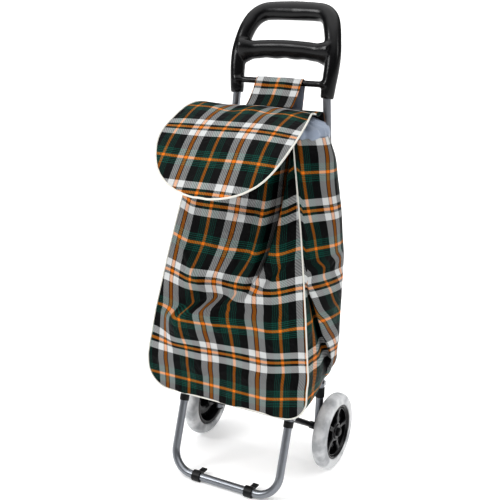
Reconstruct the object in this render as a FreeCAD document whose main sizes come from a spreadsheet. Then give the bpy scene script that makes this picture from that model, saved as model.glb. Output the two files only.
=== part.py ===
import FreeCAD, Part
import math
import os

import Sketcher
from FreeCAD import Vector

# Shopping trolley on two wheels: a bent tube frame that carries a tartan bag with a hinged flap.
# Millimetres. +Z is up, the bag's front faces -Y, X = 0 is the plane of symmetry, and the origin is
# on the floor under the middle of the whole trolley. Heights are counted from the floor and depths
# (every alias that ends in _y) from the wheel axle, which lies axle_y behind the origin.

DIMENSIONS = {
    "axle_y": 70.4,
    "axle_height": 80,
    "axle_radius": 5,
    "running_gap": 0.06,
    "fit_gap": 0.1,
    "clear_gap": 0.4,
    # wheels
    "wheel_x": 153.6,
    "wheel_radius": 80,
    "tyre_half_width": 14.5,
    "tread_crown": 10,
    "rim_radius": 57,
    "rim_half_width": 12,
    "rim_wall": 6,
    "web_inner": 1,
    "web_outer": 7,
    "boss_radius": 14,
    "boss_inner": 14.2,
    "hub_hole_radius": 9,
    "hub_hole_circle": 32,
    "cap_radius": 9,
    "cap_length": 6,
    # frame tubes
    "tube_radius": 8,
    "tube_wall": 1.2,
    "upright_x": 120.5,
    "lean_angle": 4.04,
    "splay_angle": 4.4,
    "upright_foot": 13,
    "splay_height": 490,
    "splay_bend": 150,
    "upright_top": 791,
    "plug_thickness": 3,
    "foot_bar_y": -189.5,
    "foot_bar_height": 10,
    "foot_corner_bend": 46,
    "leg_angle": 19.4,
    "arm_height": 180,
    "arm_tab_root": 10,
    "arm_bend": 25,
    "arm_end_y": -9,
    "arm_tab_end_y": 16,
    "arm_tab_half_height": 7,
    "brace_radius": 5.75,
    "brace_wall": 1,
    "brace_top_height": 165,
    "brace_tab_thickness": 3,
    "brace_tab_half_width": 7.5,
    "brace_tab_run": 17,
    "bolt_radius": 2.5,
    "bolt_head_radius": 5.5,
    "bolt_head_height": 3,
    "band_height": 146,
    "band_length": 12,
    "band_wall": 1.6,
    "glide_x": 60.5,
    "glide_radius": 11.3,
    "glide_length": 17,
    "glide_tab_reach": 29,
    "glide_tab_width": 12,
    "glide_tab_thickness": 3,
    # handle
    "sleeve_height": 758.6,
    "sleeve_radius": 12.3,
    "sleeve_bend_height": 812,
    "shoulder_x": 87.5,
    "shoulder_y": 77,
    "shoulder_height": 873,
    "crown_x": 66,
    "crown_y": 107,
    "crown_height": 921,
    "crown_half_length": 48,
    "crown_half_height": 17,
    "crown_half_depth": 13.5,
    "grip_half_length": 86,
    "grip_y": 62,
    "grip_height": 840,
    "grip_half_height": 17,
    "grip_half_depth": 9,
    "grip_tilt": 20,
    "crossbar_y": 46,
    "crossbar_height": 785.5,
    "crossbar_radius": 6.3,
    "handle_sweep_bend": 90,
    "handle_corner_bend": 26,
    "bore_spare": 1,
    "screw_radius": 3,
    "screw_head": 1.6,
    "screw_gap": 0.6,
    "screw_rise": 14,
    # bag
    "cloth": 3,
    "bag_floor": 189.5,
    "board_thickness": 3,
    "board_half": 105,
    "board_front_inset": 12,
    "board_rear_inset": 20,
    "back_top": 734.5,
    "back_top_y": 37,
    "back_top_half": 98,
    "collar_cloth": 2.5,
    "piping_radius": 2,
    "piping_top_bend": 300,
    "piping_waist_bend": 80,
    "piping_corner_bend": 48,
    "piping_edge": 1.5,
    "piping_lower": 2,
    "piping_rear_y": 26,
    "piping_rear_height": 736,
    "piping_crown_y": -30,
    "piping_crown_height": 746.3,
    "piping_shoulder": 36,
    "piping_turn": 16,
    "piping_turns": 6,
    # flap
    "flap_half": 138,
    "flap_rear_half": 117,
    "flap_rise": 50,
    "flap_widest": 712,
    "flap_drop": 95,
    "flap_cloth": 2.6,
    "flap_front_y": -259,
    "flap_slope": 48.8,
    "flap_slope_run": 97,
    "flap_bend": 177,
    "flap_bend_turn": 59.4,
    "flap_rear_run": 56,
    # strap and ties
    "strap_half": 50,
    "strap_cloth": 1.6,
    "strap_front_run": 48,
    "strap_rear_run": 90,
    "strap_spread": 5,
    "tie_height": 148,
    "tie_length": 21,
    "tie_wall": 1.4,
}

# Sections of the bag, from the floor up: height, half width and depth of the front corners,
# half width and depth of the rear corners.
BAG_SECTIONS = (
    (189.5, 178, -182, 150, -1.5),
    (250, 178, -182, 163, 3),
    (390, 161, -157, 161, 13),
    (520, 139, -133, 147, 22),
    (700, 104, -98, 110, 34.5),
)
SECTION_WORDS = ("height", "front_half", "front_y", "rear_half", "rear_y")
LEVELS = ("floor", "belly", "middle", "chest", "hem")
# The same five sizes for the gathered collar, from the bag's hem up.
COLLAR_SECTIONS = (
    (701, 99, -93, 106, 30),
    (714, 97, -88, 103, 30),
    (727, 76, -66, 76, 18),
)
COLLAR_LEVELS = ("collar_foot", "collar_waist", "collar_mouth")
for level, section in zip(LEVELS + COLLAR_LEVELS, BAG_SECTIONS + COLLAR_SECTIONS):
    for word, value in zip(SECTION_WORDS, section):
        DIMENSIONS[f"{level}_{word}"] = value

SIDES = {"left": -1, "right": 1}

doc = FreeCAD.newDocument("shopping_trolley")
sheet = doc.addObject("Spreadsheet::Sheet", "dims")
for row, (alias, value) in enumerate(DIMENSIONS.items(), start=1):
    sheet.set(f"A{row}", alias)
    sheet.set(f"B{row}", str(value))
    sheet.setAlias(f"B{row}", alias)
doc.recompute()

nodes = {}


# ---------------------------------------------------------------- helpers


def number(expression):
    """The present value of an expression on the sheet."""
    return float(sheet.evalExpression(expression))


def size(alias):
    return float(sheet.get(alias))


def keep(part, label):
    """Names a finished sub-part."""
    part.Label = label
    nodes[label] = part
    return part


def place(part, x="0", y="dims.axle_y", z="0", axis=Vector(0, 0, 1), angle="0"):
    """Puts a sub-part in the trolley's frame, with every number bound to the sheet."""
    part.Placement = FreeCAD.Placement(Vector(), FreeCAD.Rotation(axis, 1))
    part.setExpression("Placement.Base.x", x)
    part.setExpression("Placement.Base.y", y)
    part.setExpression("Placement.Base.z", z)
    part.setExpression("Placement.Rotation.Angle", angle)
    return part


def new_body(name):
    return doc.addObject("PartDesign::Body", name)


def new_sketch(body, name, role="XY_Plane", offset="0"):
    """A sketch on one of its own body's origin planes, moved along the plane's normal."""
    sketch = body.newObject("Sketcher::SketchObject", name)
    plane = next(item for item in body.Origin.OriginFeatures if item.Role == role)
    sketch.AttachmentSupport = [(plane, "")]
    sketch.MapMode = "FlatFace"
    sketch.setExpression("AttachmentOffset.Base.z", offset)
    return sketch


def bind(sketch, kind, *where, to):
    """A constraint whose value follows an expression."""
    value = number(to)
    if kind == "Angle":
        value = math.radians(value)
    index = sketch.addConstraint(Sketcher.Constraint(kind, *where, value))
    sketch.setExpression(f"Constraints[{index}]", to)


def join(sketch, kind, *where):
    sketch.addConstraint(Sketcher.Constraint(kind, *where))


def circle(sketch, radius, x="0", y="0"):
    centre = Vector(number(x), number(y), 0)
    edge = sketch.addGeometry(Part.Circle(centre, Vector(0, 0, 1), number(radius)))
    bind(sketch, "Radius", edge, to=radius)
    bind(sketch, "DistanceX", -1, 1, edge, 3, to=x)
    bind(sketch, "DistanceY", -1, 1, edge, 3, to=y)


def polygon(sketch, corners, arcs=None):
    """A closed outline through corners, each an (x, y) pair of expressions. Its edges are straight,
    except those in arcs, which gives an edge's apex and its radius."""
    points = [Vector(number(x), number(y), 0) for x, y in corners]
    count = len(points)
    edges, starts, ends = [], [], []
    for i in range(count):
        start, end = points[i], points[(i + 1) % count]
        if i in (arcs or {}):
            apex_x, apex_y, radius = arcs[i]
            apex = Vector(number(apex_x), number(apex_y), 0)
            edge = sketch.addGeometry(Part.Arc(start, apex, end))
            bind(sketch, "Radius", edge, to=radius)
            forward = sketch.getPoint(edge, 1).distanceToPoint(start) < 1e-6
        else:
            edge = sketch.addGeometry(Part.LineSegment(start, end))
            forward = True
        edges.append(edge)
        starts.append(1 if forward else 2)
        ends.append(2 if forward else 1)
    for i in range(count):
        follower = (i + 1) % count
        join(sketch, "Coincident", edges[i], ends[i], edges[follower], starts[follower])
    for edge, start, (x, y) in zip(edges, starts, corners):
        bind(sketch, "DistanceX", -1, 1, edge, start, to=x)
        bind(sketch, "DistanceY", -1, 1, edge, start, to=y)


def trace(sketch, start, heading, steps):
    """Straight runs joined by tangent arcs. Each step is (run, turn, radius), all expressions, with
    the turn in degrees to the left; the last step is a run alone. Returns its first and last line."""
    point = Vector(number(start[0]), number(start[1]), 0)
    first = previous = None
    for step in steps:
        angle = math.radians(number(heading))
        ahead = Vector(math.cos(angle), math.sin(angle), 0)
        end = point + ahead * number(step[0])
        line = sketch.addGeometry(Part.LineSegment(point, end))
        bind(sketch, "Angle", line, to=heading)
        bind(sketch, "Distance", line, to=step[0])
        if previous is None:
            first = line
            bind(sketch, "DistanceX", -1, 1, line, 1, to=start[0])
            bind(sketch, "DistanceY", -1, 1, line, 1, to=start[1])
        else:
            join(sketch, "Tangent", previous[0], previous[1], line, 1)
        if len(step) == 1:
            return first, line
        turn = number(step[1])
        side = math.copysign(1, turn)
        radius = number(step[2])
        centre = end + Vector(-ahead.y, ahead.x, 0) * side * radius
        opening = angle - side * math.pi / 2
        sweep = sorted((opening, opening + math.radians(turn)))
        rim = Part.Circle(centre, Vector(0, 0, 1), radius)
        arc = sketch.addGeometry(Part.ArcOfCircle(rim, *sweep))
        near, far = (1, 2) if side > 0 else (2, 1)
        join(sketch, "Tangent", line, 2, arc, near)
        bind(sketch, "Radius", arc, to=step[2])
        previous = (arc, far)
        closing = opening + math.radians(turn)
        point = centre + Vector(math.cos(closing), math.sin(closing), 0) * radius
        heading = f"{heading} + {step[1]}"
    return first, line


def band_profile(sketch, start, heading, steps, cloth):
    """The closed section of a cloth band: an outer trace, the same trace one cloth to its right,
    and the two cut ends."""
    outer = trace(sketch, start, heading, steps)
    inner_start = (
        f"{start[0]} + {cloth} * sin({heading})",
        f"{start[1]} - {cloth} * cos({heading})",
    )
    inner_steps = []
    for step in steps:
        if len(step) == 1:
            inner_steps.append(step)
            continue
        change = "+" if number(step[1]) > 0 else "-"
        inner_steps.append((step[0], step[1], f"{step[2]} {change} {cloth}"))
    inner = trace(sketch, inner_start, heading, inner_steps)
    for end, (a, b) in ((1, (outer[0], inner[0])), (2, (outer[1], inner[1]))):
        ends = [sketch.getPoint(edge, end) for edge in (a, b)]
        cut = sketch.addGeometry(Part.LineSegment(*ends))
        join(sketch, "Coincident", cut, 1, a, end)
        join(sketch, "Coincident", cut, 2, b, end)


def pad(body, sketch, length, centred=False):
    feature = body.newObject("PartDesign::Pad", f"{sketch.Name}_pad")
    feature.Profile = sketch
    feature.Midplane = centred
    feature.setExpression("Length", length)
    doc.recompute()
    return feature


def revolve(body, sketch):
    """Turns a section round the body's X axis."""
    feature = body.newObject("PartDesign::Revolution", f"{sketch.Name}_turned")
    feature.Profile = sketch
    feature.ReferenceAxis = (sketch, ["H_Axis"])
    doc.recompute()
    return feature


def cut_through(body, sketch):
    """A pocket through everything on both sides of the sketch."""
    before = body.Shape.Volume
    feature = body.newObject("PartDesign::Pocket", f"{sketch.Name}_cut")
    feature.Profile = sketch
    feature.Type = "ThroughAll"
    feature.Midplane = True
    doc.recompute()
    if body.Shape.Volume > before - 1:
        raise RuntimeError(f"{sketch.Name} removed nothing")
    return feature


def ring(label, outer, inner, length):
    """A plain ring along its own Z axis."""
    body = new_body(label)
    sketch = new_sketch(body, f"{label}_section")
    circle(sketch, outer)
    circle(sketch, inner)
    pad(body, sketch, length)
    return keep(body, label)


def loft(label, sections):
    """A cloth panel lofted straight between sections, each a height and its corner pairs."""
    body = new_body(label)
    sketches = []
    for index, (height, corners) in enumerate(sections):
        sketch = new_sketch(body, f"{label}_section_{index}", offset=height)
        polygon(sketch, corners)
        sketches.append(sketch)
    doc.recompute()
    feature = body.newObject("PartDesign::AdditiveLoft", f"{label}_loft")
    feature.Profile = sketches[0]
    feature.Sections = sketches[1:]
    feature.Ruled = True
    doc.recompute()
    return body


def feature(label, shape):
    """A sub-part whose shape is swept in space, with sizes read from the sheet."""
    part = doc.addObject("Part::Feature", label)
    part.Shape = shape
    place(part)
    return keep(part, label)


def compound(label, parts):
    group = doc.addObject("Part::Compound", label)
    group.Links = parts
    return keep(group, label)


def rounded_wire(points, radii):
    """Straight runs through points, with a tangent arc of the given radius at each inner point."""
    edges = []
    start = points[0]
    for before, corner, after, radius in zip(points, points[1:], points[2:], radii):
        arriving = (corner - before).normalize()
        leaving = (after - corner).normalize()
        turn = arriving.getAngle(leaving)
        reach = radius * math.tan(turn / 2)
        bisector = (leaving - arriving).normalize()
        centre = corner + bisector * (radius / math.cos(turn / 2))
        enter = corner - arriving * reach
        leave = corner + leaving * reach
        edges.append(Part.LineSegment(start, enter).toShape())
        edges.append(Part.Arc(enter, centre - bisector * radius, leave).toShape())
        start = leave
    edges.append(Part.LineSegment(start, points[-1]).toShape())
    return Part.Wire(edges)


def sweep(wire, radius):
    """A round rod along a wire."""
    start = wire.Edges[0]
    ahead = start.tangentAt(start.FirstParameter)
    section = Part.Wire(Part.makeCircle(radius, start.valueAt(start.FirstParameter), ahead))
    return Part.Wire(wire.Edges).makePipeShell([section], True, False)


def mirror_path(half):
    """A path that runs up the right half and back down the left one."""
    return half + [Vector(-point.x, point.y, point.z) for point in reversed(half)]


# ---------------------------------------------------------------- frame


def upright(side, sign):
    """Tube from the axle to the handle: it leans back, and its upper run splays inwards. Along its
    own Z axis, with the axle at its origin."""
    body = new_body(f"upright_{side}")
    reach = "dims.splay_bend * tan(dims.splay_angle / 2)"
    lower = f"(dims.splay_height - dims.axle_height) / cos(dims.lean_angle) + dims.upright_foot - {reach}"
    climb = "(dims.upright_top - dims.splay_height)"
    upper = f"{climb} / cos(dims.lean_angle) / cos(dims.splay_angle) - {reach}"
    path = new_sketch(body, f"upright_path_{side}", "XZ_Plane")
    turn = f"{sign} * dims.splay_angle"
    trace(path, ("0", "-dims.upright_foot"), "90", ((lower, turn, "dims.splay_bend"), (upper,)))
    section = new_sketch(body, f"upright_section_{side}", offset="-dims.upright_foot")
    circle(section, "dims.tube_radius")
    circle(section, "dims.tube_radius - dims.tube_wall")
    doc.recompute()
    pipe = body.newObject("PartDesign::AdditivePipe", f"upright_tube_{side}")
    pipe.Profile = section
    pipe.Spine = (path, [])
    doc.recompute()
    holes = new_sketch(body, f"upright_holes_{side}", "YZ_Plane")
    circle(holes, "dims.axle_radius + dims.fit_gap")
    arm = "(dims.arm_height - dims.axle_height) / cos(dims.lean_angle)"
    circle(holes, "dims.bolt_radius + dims.fit_gap", "0", arm)
    cut_through(body, holes)
    keep(body, f"upright_{side}")
    x = f"{sign} * dims.upright_x"
    place(body, x, "dims.axle_y", "dims.axle_height", Vector(1, 0, 0), "-dims.lean_angle")

    plug = ring(
        f"upright_plug_{side}", "dims.tube_radius", "dims.tube_radius / 3", "dims.plug_thickness"
    )
    drop = "(dims.upright_foot + dims.plug_thickness + dims.fit_gap)"
    y = f"dims.axle_y - {drop} * sin(dims.lean_angle)"
    z = f"dims.axle_height - {drop} * cos(dims.lean_angle)"
    place(plug, x, y, z, Vector(1, 0, 0), "-dims.lean_angle")


def leg_y(height):
    """Depth of the foot frame's leg at a height, as an expression."""
    return f"(dims.foot_bar_y + ({height} - dims.foot_bar_height) * tan(dims.leg_angle))"


def foot_frame():
    """One tube bent into a floor bar, two leaning legs and two arms under the bag, with a flat tab
    at the end of each arm that bolts to the upright."""
    leg_x = size("upright_x")
    arm_z = size("arm_height")
    bar = Vector(leg_x, size("foot_bar_y"), size("foot_bar_height"))
    knee = Vector(leg_x, number(leg_y("dims.arm_height")), arm_z)
    half = [Vector(leg_x, size("arm_end_y"), arm_z), knee, bar]
    bends = [size("arm_bend"), size("foot_corner_bend")]
    wire = rounded_wire(mirror_path(half), bends + bends[::-1])
    radius = size("tube_radius")
    hollow = sweep(wire, radius - size("tube_wall"))
    tube = sweep(wire, radius)
    hole = size("bolt_radius") + size("fit_gap")
    thick = size("brace_tab_thickness")
    tab_x = leg_x - radius - size("clear_gap") - thick
    reach = size("arm_tab_end_y") - size("arm_end_y")
    tall = 2 * size("arm_tab_half_height")
    root = size("arm_tab_root")
    for sign in SIDES.values():
        low = min(sign * tab_x, sign * (tab_x + thick))
        corner = Vector(low, size("arm_end_y") - root, arm_z - tall / 2)
        tube = tube.fuse(Part.makeBox(thick, reach + root, tall, corner))
        foot = min(sign * tab_x, sign * (tab_x + thick + size("tube_wall")))
        corner = Vector(foot, size("arm_end_y") - root, arm_z - tall / 2)
        tube = tube.fuse(Part.makeBox(thick + size("tube_wall"), root - 1, tall, corner))
    tube = tube.cut(hollow)
    lean = math.tan(math.radians(size("lean_angle")))
    arm_bolt_y = (arm_z - size("axle_height")) * lean
    for y, z in (
        (arm_bolt_y, arm_z),
        (number(leg_y("dims.brace_top_height")), size("brace_top_height")),
    ):
        drill = Part.makeCylinder(hole, 4 * leg_x, Vector(-2 * leg_x, y, z), Vector(1, 0, 0))
        tube = tube.cut(drill)
    feature("foot_frame", tube)


def brace(side, sign):
    """Straight strut from the leg down to the axle, flattened and drilled at both ends. Along its
    own Z axis, from the axle up to the leg."""
    body = new_body(f"brace_{side}")
    run_y = f"(-{leg_y('dims.brace_top_height')})"
    run_z = "(dims.brace_top_height - dims.axle_height)"
    length = f"sqrt({run_y} ^ 2 + {run_z} ^ 2)"
    tube = new_sketch(body, f"brace_tube_{side}", offset="dims.brace_tab_run")
    circle(tube, "dims.brace_radius")
    circle(tube, "dims.brace_radius - dims.brace_wall")
    pad(body, tube, f"{length} - 2 * dims.brace_tab_run")
    half = "dims.brace_tab_half_width"
    overlap = "4"
    for end, low, high in (
        ("low", f"-{half}", f"dims.brace_tab_run + {overlap}"),
        ("high", f"{length} - dims.brace_tab_run - {overlap}", f"{length} + {half}"),
    ):
        tab = new_sketch(body, f"brace_tab_{end}_{side}", "YZ_Plane")
        polygon(tab, ((f"-{half}", low), (half, low), (half, high), (f"-{half}", high)))
        pad(body, tab, "dims.brace_tab_thickness", centred=True)
    holes = new_sketch(body, f"brace_holes_{side}", "YZ_Plane")
    circle(holes, "dims.axle_radius + dims.fit_gap")
    circle(holes, "dims.bolt_radius + dims.fit_gap", "0", length)
    cut_through(body, holes)
    keep(body, f"brace_{side}")
    inset = "(dims.tube_radius + dims.clear_gap + dims.brace_tab_thickness / 2)"
    x = f"{sign} * (dims.upright_x - {inset})"
    rise = f"atan2({run_y}; {run_z})"
    place(body, x, "dims.axle_y", "dims.axle_height", Vector(1, 0, 0), rise)


def bolt(name, sign, y, z):
    """A cross bolt through one side of the frame: shank, round head outside and nut inside."""
    inside = "(dims.upright_x - dims.tube_radius - dims.brace_tab_thickness - 2 * dims.clear_gap)"
    outside = "(dims.upright_x + dims.tube_radius + dims.fit_gap)"
    pieces = []
    for piece, radius, start, length in (
        ("shank", "dims.bolt_radius", inside, f"{outside} - {inside}"),
        ("head", "dims.bolt_head_radius", outside, "dims.bolt_head_height"),
        ("nut", "dims.bolt_head_radius", f"{inside} - dims.bolt_head_height", "dims.bolt_head_height"),
    ):
        cylinder = doc.addObject("Part::Cylinder", f"{name}_{piece}")
        cylinder.setExpression("Radius", radius)
        cylinder.setExpression("Height", length)
        y_word = f"dims.axle_y + {y}"
        place(cylinder, f"{sign} * ({start})", y_word, z, Vector(0, 1, 0), f"{sign} * 90")
        pieces.append(cylinder)
    whole = doc.addObject("Part::MultiFuse", name)
    whole.Shapes = pieces
    return whole


def fasteners():
    """Two bolts hold the arms to the uprights and two hold the braces to the legs."""
    arm_y = "(dims.arm_height - dims.axle_height) * tan(dims.lean_angle)"
    places = {
        "arm_bolts": (arm_y, "dims.arm_height"),
        "leg_bolts": (leg_y("dims.brace_top_height"), "dims.brace_top_height"),
    }
    for label, (y, z) in places.items():
        compound(label, [bolt(f"{label}_{side}", sign, y, z) for side, sign in SIDES.items()])


def leg_band(side, sign):
    """Plastic collar round the leg, just under the bag."""
    band = ring(
        f"leg_band_{side}",
        "dims.tube_radius + dims.fit_gap + dims.band_wall",
        "dims.tube_radius + dims.fit_gap",
        "dims.band_length",
    )
    y = f"dims.axle_y + {leg_y('dims.band_height')}"
    place(band, f"{sign} * dims.upright_x", y, "dims.band_height", Vector(1, 0, 0), "-dims.leg_angle")


def foot_glide(side, sign):
    """Plastic clip on the floor bar with a flat sole and a tab to the rear."""
    label = f"foot_glide_{side}"
    body = new_body(label)
    section = new_sketch(body, f"{label}_ring", "YZ_Plane")
    bar = "dims.foot_bar_height"
    radius = number("dims.glide_radius")
    drop = number(bar)
    half = math.sqrt(radius**2 - drop**2)
    opening = math.atan2(-drop, half)
    rim = Part.Circle(Vector(0, drop, 0), Vector(0, 0, 1), radius)
    arc = section.addGeometry(Part.ArcOfCircle(rim, opening, math.pi - opening))
    sole = section.addGeometry(Part.LineSegment(Vector(-half, 0, 0), Vector(half, 0, 0)))
    join(section, "Coincident", arc, 2, sole, 1)
    join(section, "Coincident", sole, 2, arc, 1)
    bind(section, "Radius", arc, to="dims.glide_radius")
    bind(section, "DistanceX", -1, 1, arc, 3, to="0")
    bind(section, "DistanceY", -1, 1, arc, 3, to=bar)
    bind(section, "DistanceY", -1, 1, sole, 1, to="0")
    bind(section, "DistanceY", -1, 1, sole, 2, to="0")
    pad(body, section, "dims.glide_length", centred=True)
    tab = new_sketch(body, f"{label}_tab", "YZ_Plane")
    low = bar
    high = f"{bar} + dims.glide_tab_thickness"
    near = "dims.tube_radius"
    far = "dims.glide_tab_reach"
    polygon(tab, ((near, low), (far, low), (far, high), (near, high)))
    pad(body, tab, "dims.glide_tab_width", centred=True)
    bore = new_sketch(body, f"{label}_bore", "YZ_Plane")
    circle(bore, "dims.tube_radius + dims.fit_gap", "0", bar)
    cut_through(body, bore)
    keep(body, label)
    place(body, f"{sign} * dims.glide_x", "dims.axle_y + dims.foot_bar_y")


# ---------------------------------------------------------------- wheels


def axle():
    rod = doc.addObject("Part::Cylinder", "axle")
    half = "(dims.wheel_x + dims.rim_half_width + dims.clear_gap + dims.cap_length / 2)"
    rod.setExpression("Radius", "dims.axle_radius")
    rod.setExpression("Height", f"2 * {half}")
    place(rod, f"-{half}", "dims.axle_y", "dims.axle_height", Vector(0, 1, 0), "90")
    keep(rod, "axle")


def wheel(side, sign):
    """Spoked plastic hub, foam tyre, spacer tube and push-on cap. Each is turned round its own X
    axis, which points away from the trolley."""
    turned = "0" if sign > 0 else "180"
    x = f"{sign} * dims.wheel_x"
    where = (x, "dims.axle_y", "dims.axle_height", Vector(0, 0, 1), turned)

    hub = new_body(f"hub_{side}")
    section = new_sketch(hub, f"hub_section_{side}")
    bore = "dims.axle_radius + dims.running_gap"
    wide = "dims.rim_half_width"
    inner_rim = "dims.rim_radius - dims.rim_wall"
    corners = (
        ("-dims.boss_inner", bore),
        (wide, bore),
        (wide, "dims.boss_radius - 1"),
        ("dims.web_outer", "dims.boss_radius + 2"),
        ("dims.web_outer", f"{inner_rim} - 2"),
        (wide, inner_rim),
        (wide, "dims.rim_radius"),
        (f"-{wide}", "dims.rim_radius"),
        (f"-{wide}", inner_rim),
        ("dims.web_inner", f"{inner_rim} - 2"),
        ("dims.web_inner", "dims.boss_radius + 4"),
        ("-dims.boss_inner", "dims.boss_radius"),
    )
    polygon(section, corners)
    revolve(hub, section)
    hole = new_sketch(hub, f"hub_hole_{side}", "YZ_Plane")
    circle(hole, "dims.hub_hole_radius", "0", "dims.hub_hole_circle")
    first = cut_through(hub, hole)
    pattern = hub.newObject("PartDesign::PolarPattern", f"hub_holes_{side}")
    pattern.Originals = [first]
    pattern.Axis = (hole, ["N_Axis"])
    pattern.Angle = 360
    pattern.Occurrences = 5
    hub.Tip = pattern
    doc.recompute()
    keep(place(hub, *where), f"hub_{side}")

    tyre = new_body(f"tyre_{side}")
    section = new_sketch(tyre, f"tyre_section_{side}")
    half = "dims.tyre_half_width"
    seat = "dims.rim_radius"
    shoulder = "dims.wheel_radius - dims.tread_crown"
    corners = ((f"-{half}", shoulder), (f"-{wide}", seat), (wide, seat), (half, shoulder))
    crown = "dims.tread_crown"
    tread = f"({half} ^ 2 + {crown} ^ 2) / (2 * {crown})"
    polygon(section, corners, {3: ("0", "dims.wheel_radius", tread)})
    revolve(tyre, section)
    keep(place(tyre, *where), f"tyre_{side}")

    cap = new_body(f"axle_cap_{side}")
    section = new_sketch(cap, f"cap_section_{side}")
    start = "dims.rim_half_width + dims.clear_gap"
    end = f"{start} + dims.cap_length"
    floor = f"{start} + dims.cap_length / 2 + dims.fit_gap"
    bore = "dims.axle_radius + dims.fit_gap"
    polygon(
        section,
        (
            (start, bore),
            (floor, bore),
            (floor, "0"),
            (end, "0"),
            (end, "dims.cap_radius - 3"),
            (f"{end} - 2", "dims.cap_radius"),
            (start, "dims.cap_radius"),
        ),
    )
    revolve(cap, section)
    keep(place(cap, *where), f"axle_cap_{side}")

    near = "(dims.upright_x + dims.tube_radius + dims.clear_gap)"
    far = "(dims.wheel_x - dims.boss_inner - dims.clear_gap)"
    spacer = ring(
        f"axle_spacer_{side}", "dims.tube_radius", "dims.axle_radius + dims.fit_gap", f"{far} - {near}"
    )
    place(
        spacer, f"{sign} * {near}", "dims.axle_y", "dims.axle_height", Vector(0, 1, 0), f"{sign} * 90"
    )


# ---------------------------------------------------------------- handle


def upright_point(height):
    """A point on the right upright's upper run, relative to the axle's depth."""
    lean = math.radians(size("lean_angle"))
    splay = math.radians(size("splay_angle"))
    climb = height - size("splay_height")
    x = size("upright_x") - climb / math.cos(lean) * math.tan(splay)
    return Vector(x, (height - size("axle_height")) * math.tan(lean), height)


def oval_bar(half_length, half_height, half_depth, y, z, tilt):
    """A bar of oval section along X, tall along Z before it is tilted back."""
    tall, deep = max(half_height, half_depth), min(half_height, half_depth)
    oval = Part.Ellipse(Vector(), tall, deep).toShape()
    bar = Part.Face(Part.Wire(oval)).extrude(Vector(0, 0, 2 * half_length))
    bar.translate(Vector(0, 0, -half_length))
    bar.rotate(Vector(), Vector(0, 1, 0), -90)
    bar.rotate(Vector(), Vector(1, 0, 0), -tilt)
    bar.translate(Vector(0, y, z))
    return bar


def handle():
    """One moulding: two sleeves over the uprights, swept back into a crown bar, with a middle grip
    and a thin lower crossbar that the bag hangs on."""
    low = upright_point(size("sleeve_height"))
    bend = upright_point(size("sleeve_bend_height"))
    shoulder = Vector(size("shoulder_x"), size("shoulder_y"), size("shoulder_height"))
    crown = Vector(size("crown_x"), size("crown_y"), size("crown_height"))
    radii = [size("handle_sweep_bend"), size("handle_sweep_bend"), size("handle_corner_bend")]
    wire = rounded_wire(mirror_path([low, bend, shoulder, crown]), radii + radii[::-1])
    body = sweep(wire, size("sleeve_radius"))
    crown_bar = oval_bar(
        size("crown_half_length"),
        size("crown_half_height"),
        size("crown_half_depth"),
        crown.y,
        crown.z,
        0,
    )
    grip = oval_bar(
        size("grip_half_length"),
        size("grip_half_height"),
        size("grip_half_depth"),
        size("grip_y"),
        size("grip_height"),
        size("grip_tilt"),
    )
    bar_half = upright_point(size("crossbar_height")).x
    crossbar = Part.makeCylinder(
        size("crossbar_radius"),
        2 * bar_half,
        Vector(-bar_half, size("crossbar_y"), size("crossbar_height")),
        Vector(1, 0, 0),
    )
    body = body.fuse([crown_bar, grip, crossbar])
    top = upright_point(size("upright_top") + size("bore_spare"))
    for sign in SIDES.values():
        foot = Vector(sign * low.x, low.y, low.z)
        ahead = Vector(sign * top.x, top.y, top.z) - foot
        spare = 2 * size("bore_spare")
        start = foot - ahead * (spare / ahead.Length)
        radius = size("tube_radius") + size("fit_gap")
        body = body.cut(Part.makeCylinder(radius, ahead.Length + 2 * spare, start, ahead))
    feature("handle", body)

    screws = []
    for sign in SIDES.values():
        centre = upright_point(size("sleeve_height") + size("screw_rise"))
        start = Vector(sign * centre.x, centre.y + size("sleeve_radius") + size("screw_gap"), centre.z)
        head = Part.makeCylinder(size("screw_radius"), size("screw_head"), start, Vector(0, 1, 0))
        screws.append(head)
    feature("handle_screws", Part.makeCompound(screws))


# ---------------------------------------------------------------- bag


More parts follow.
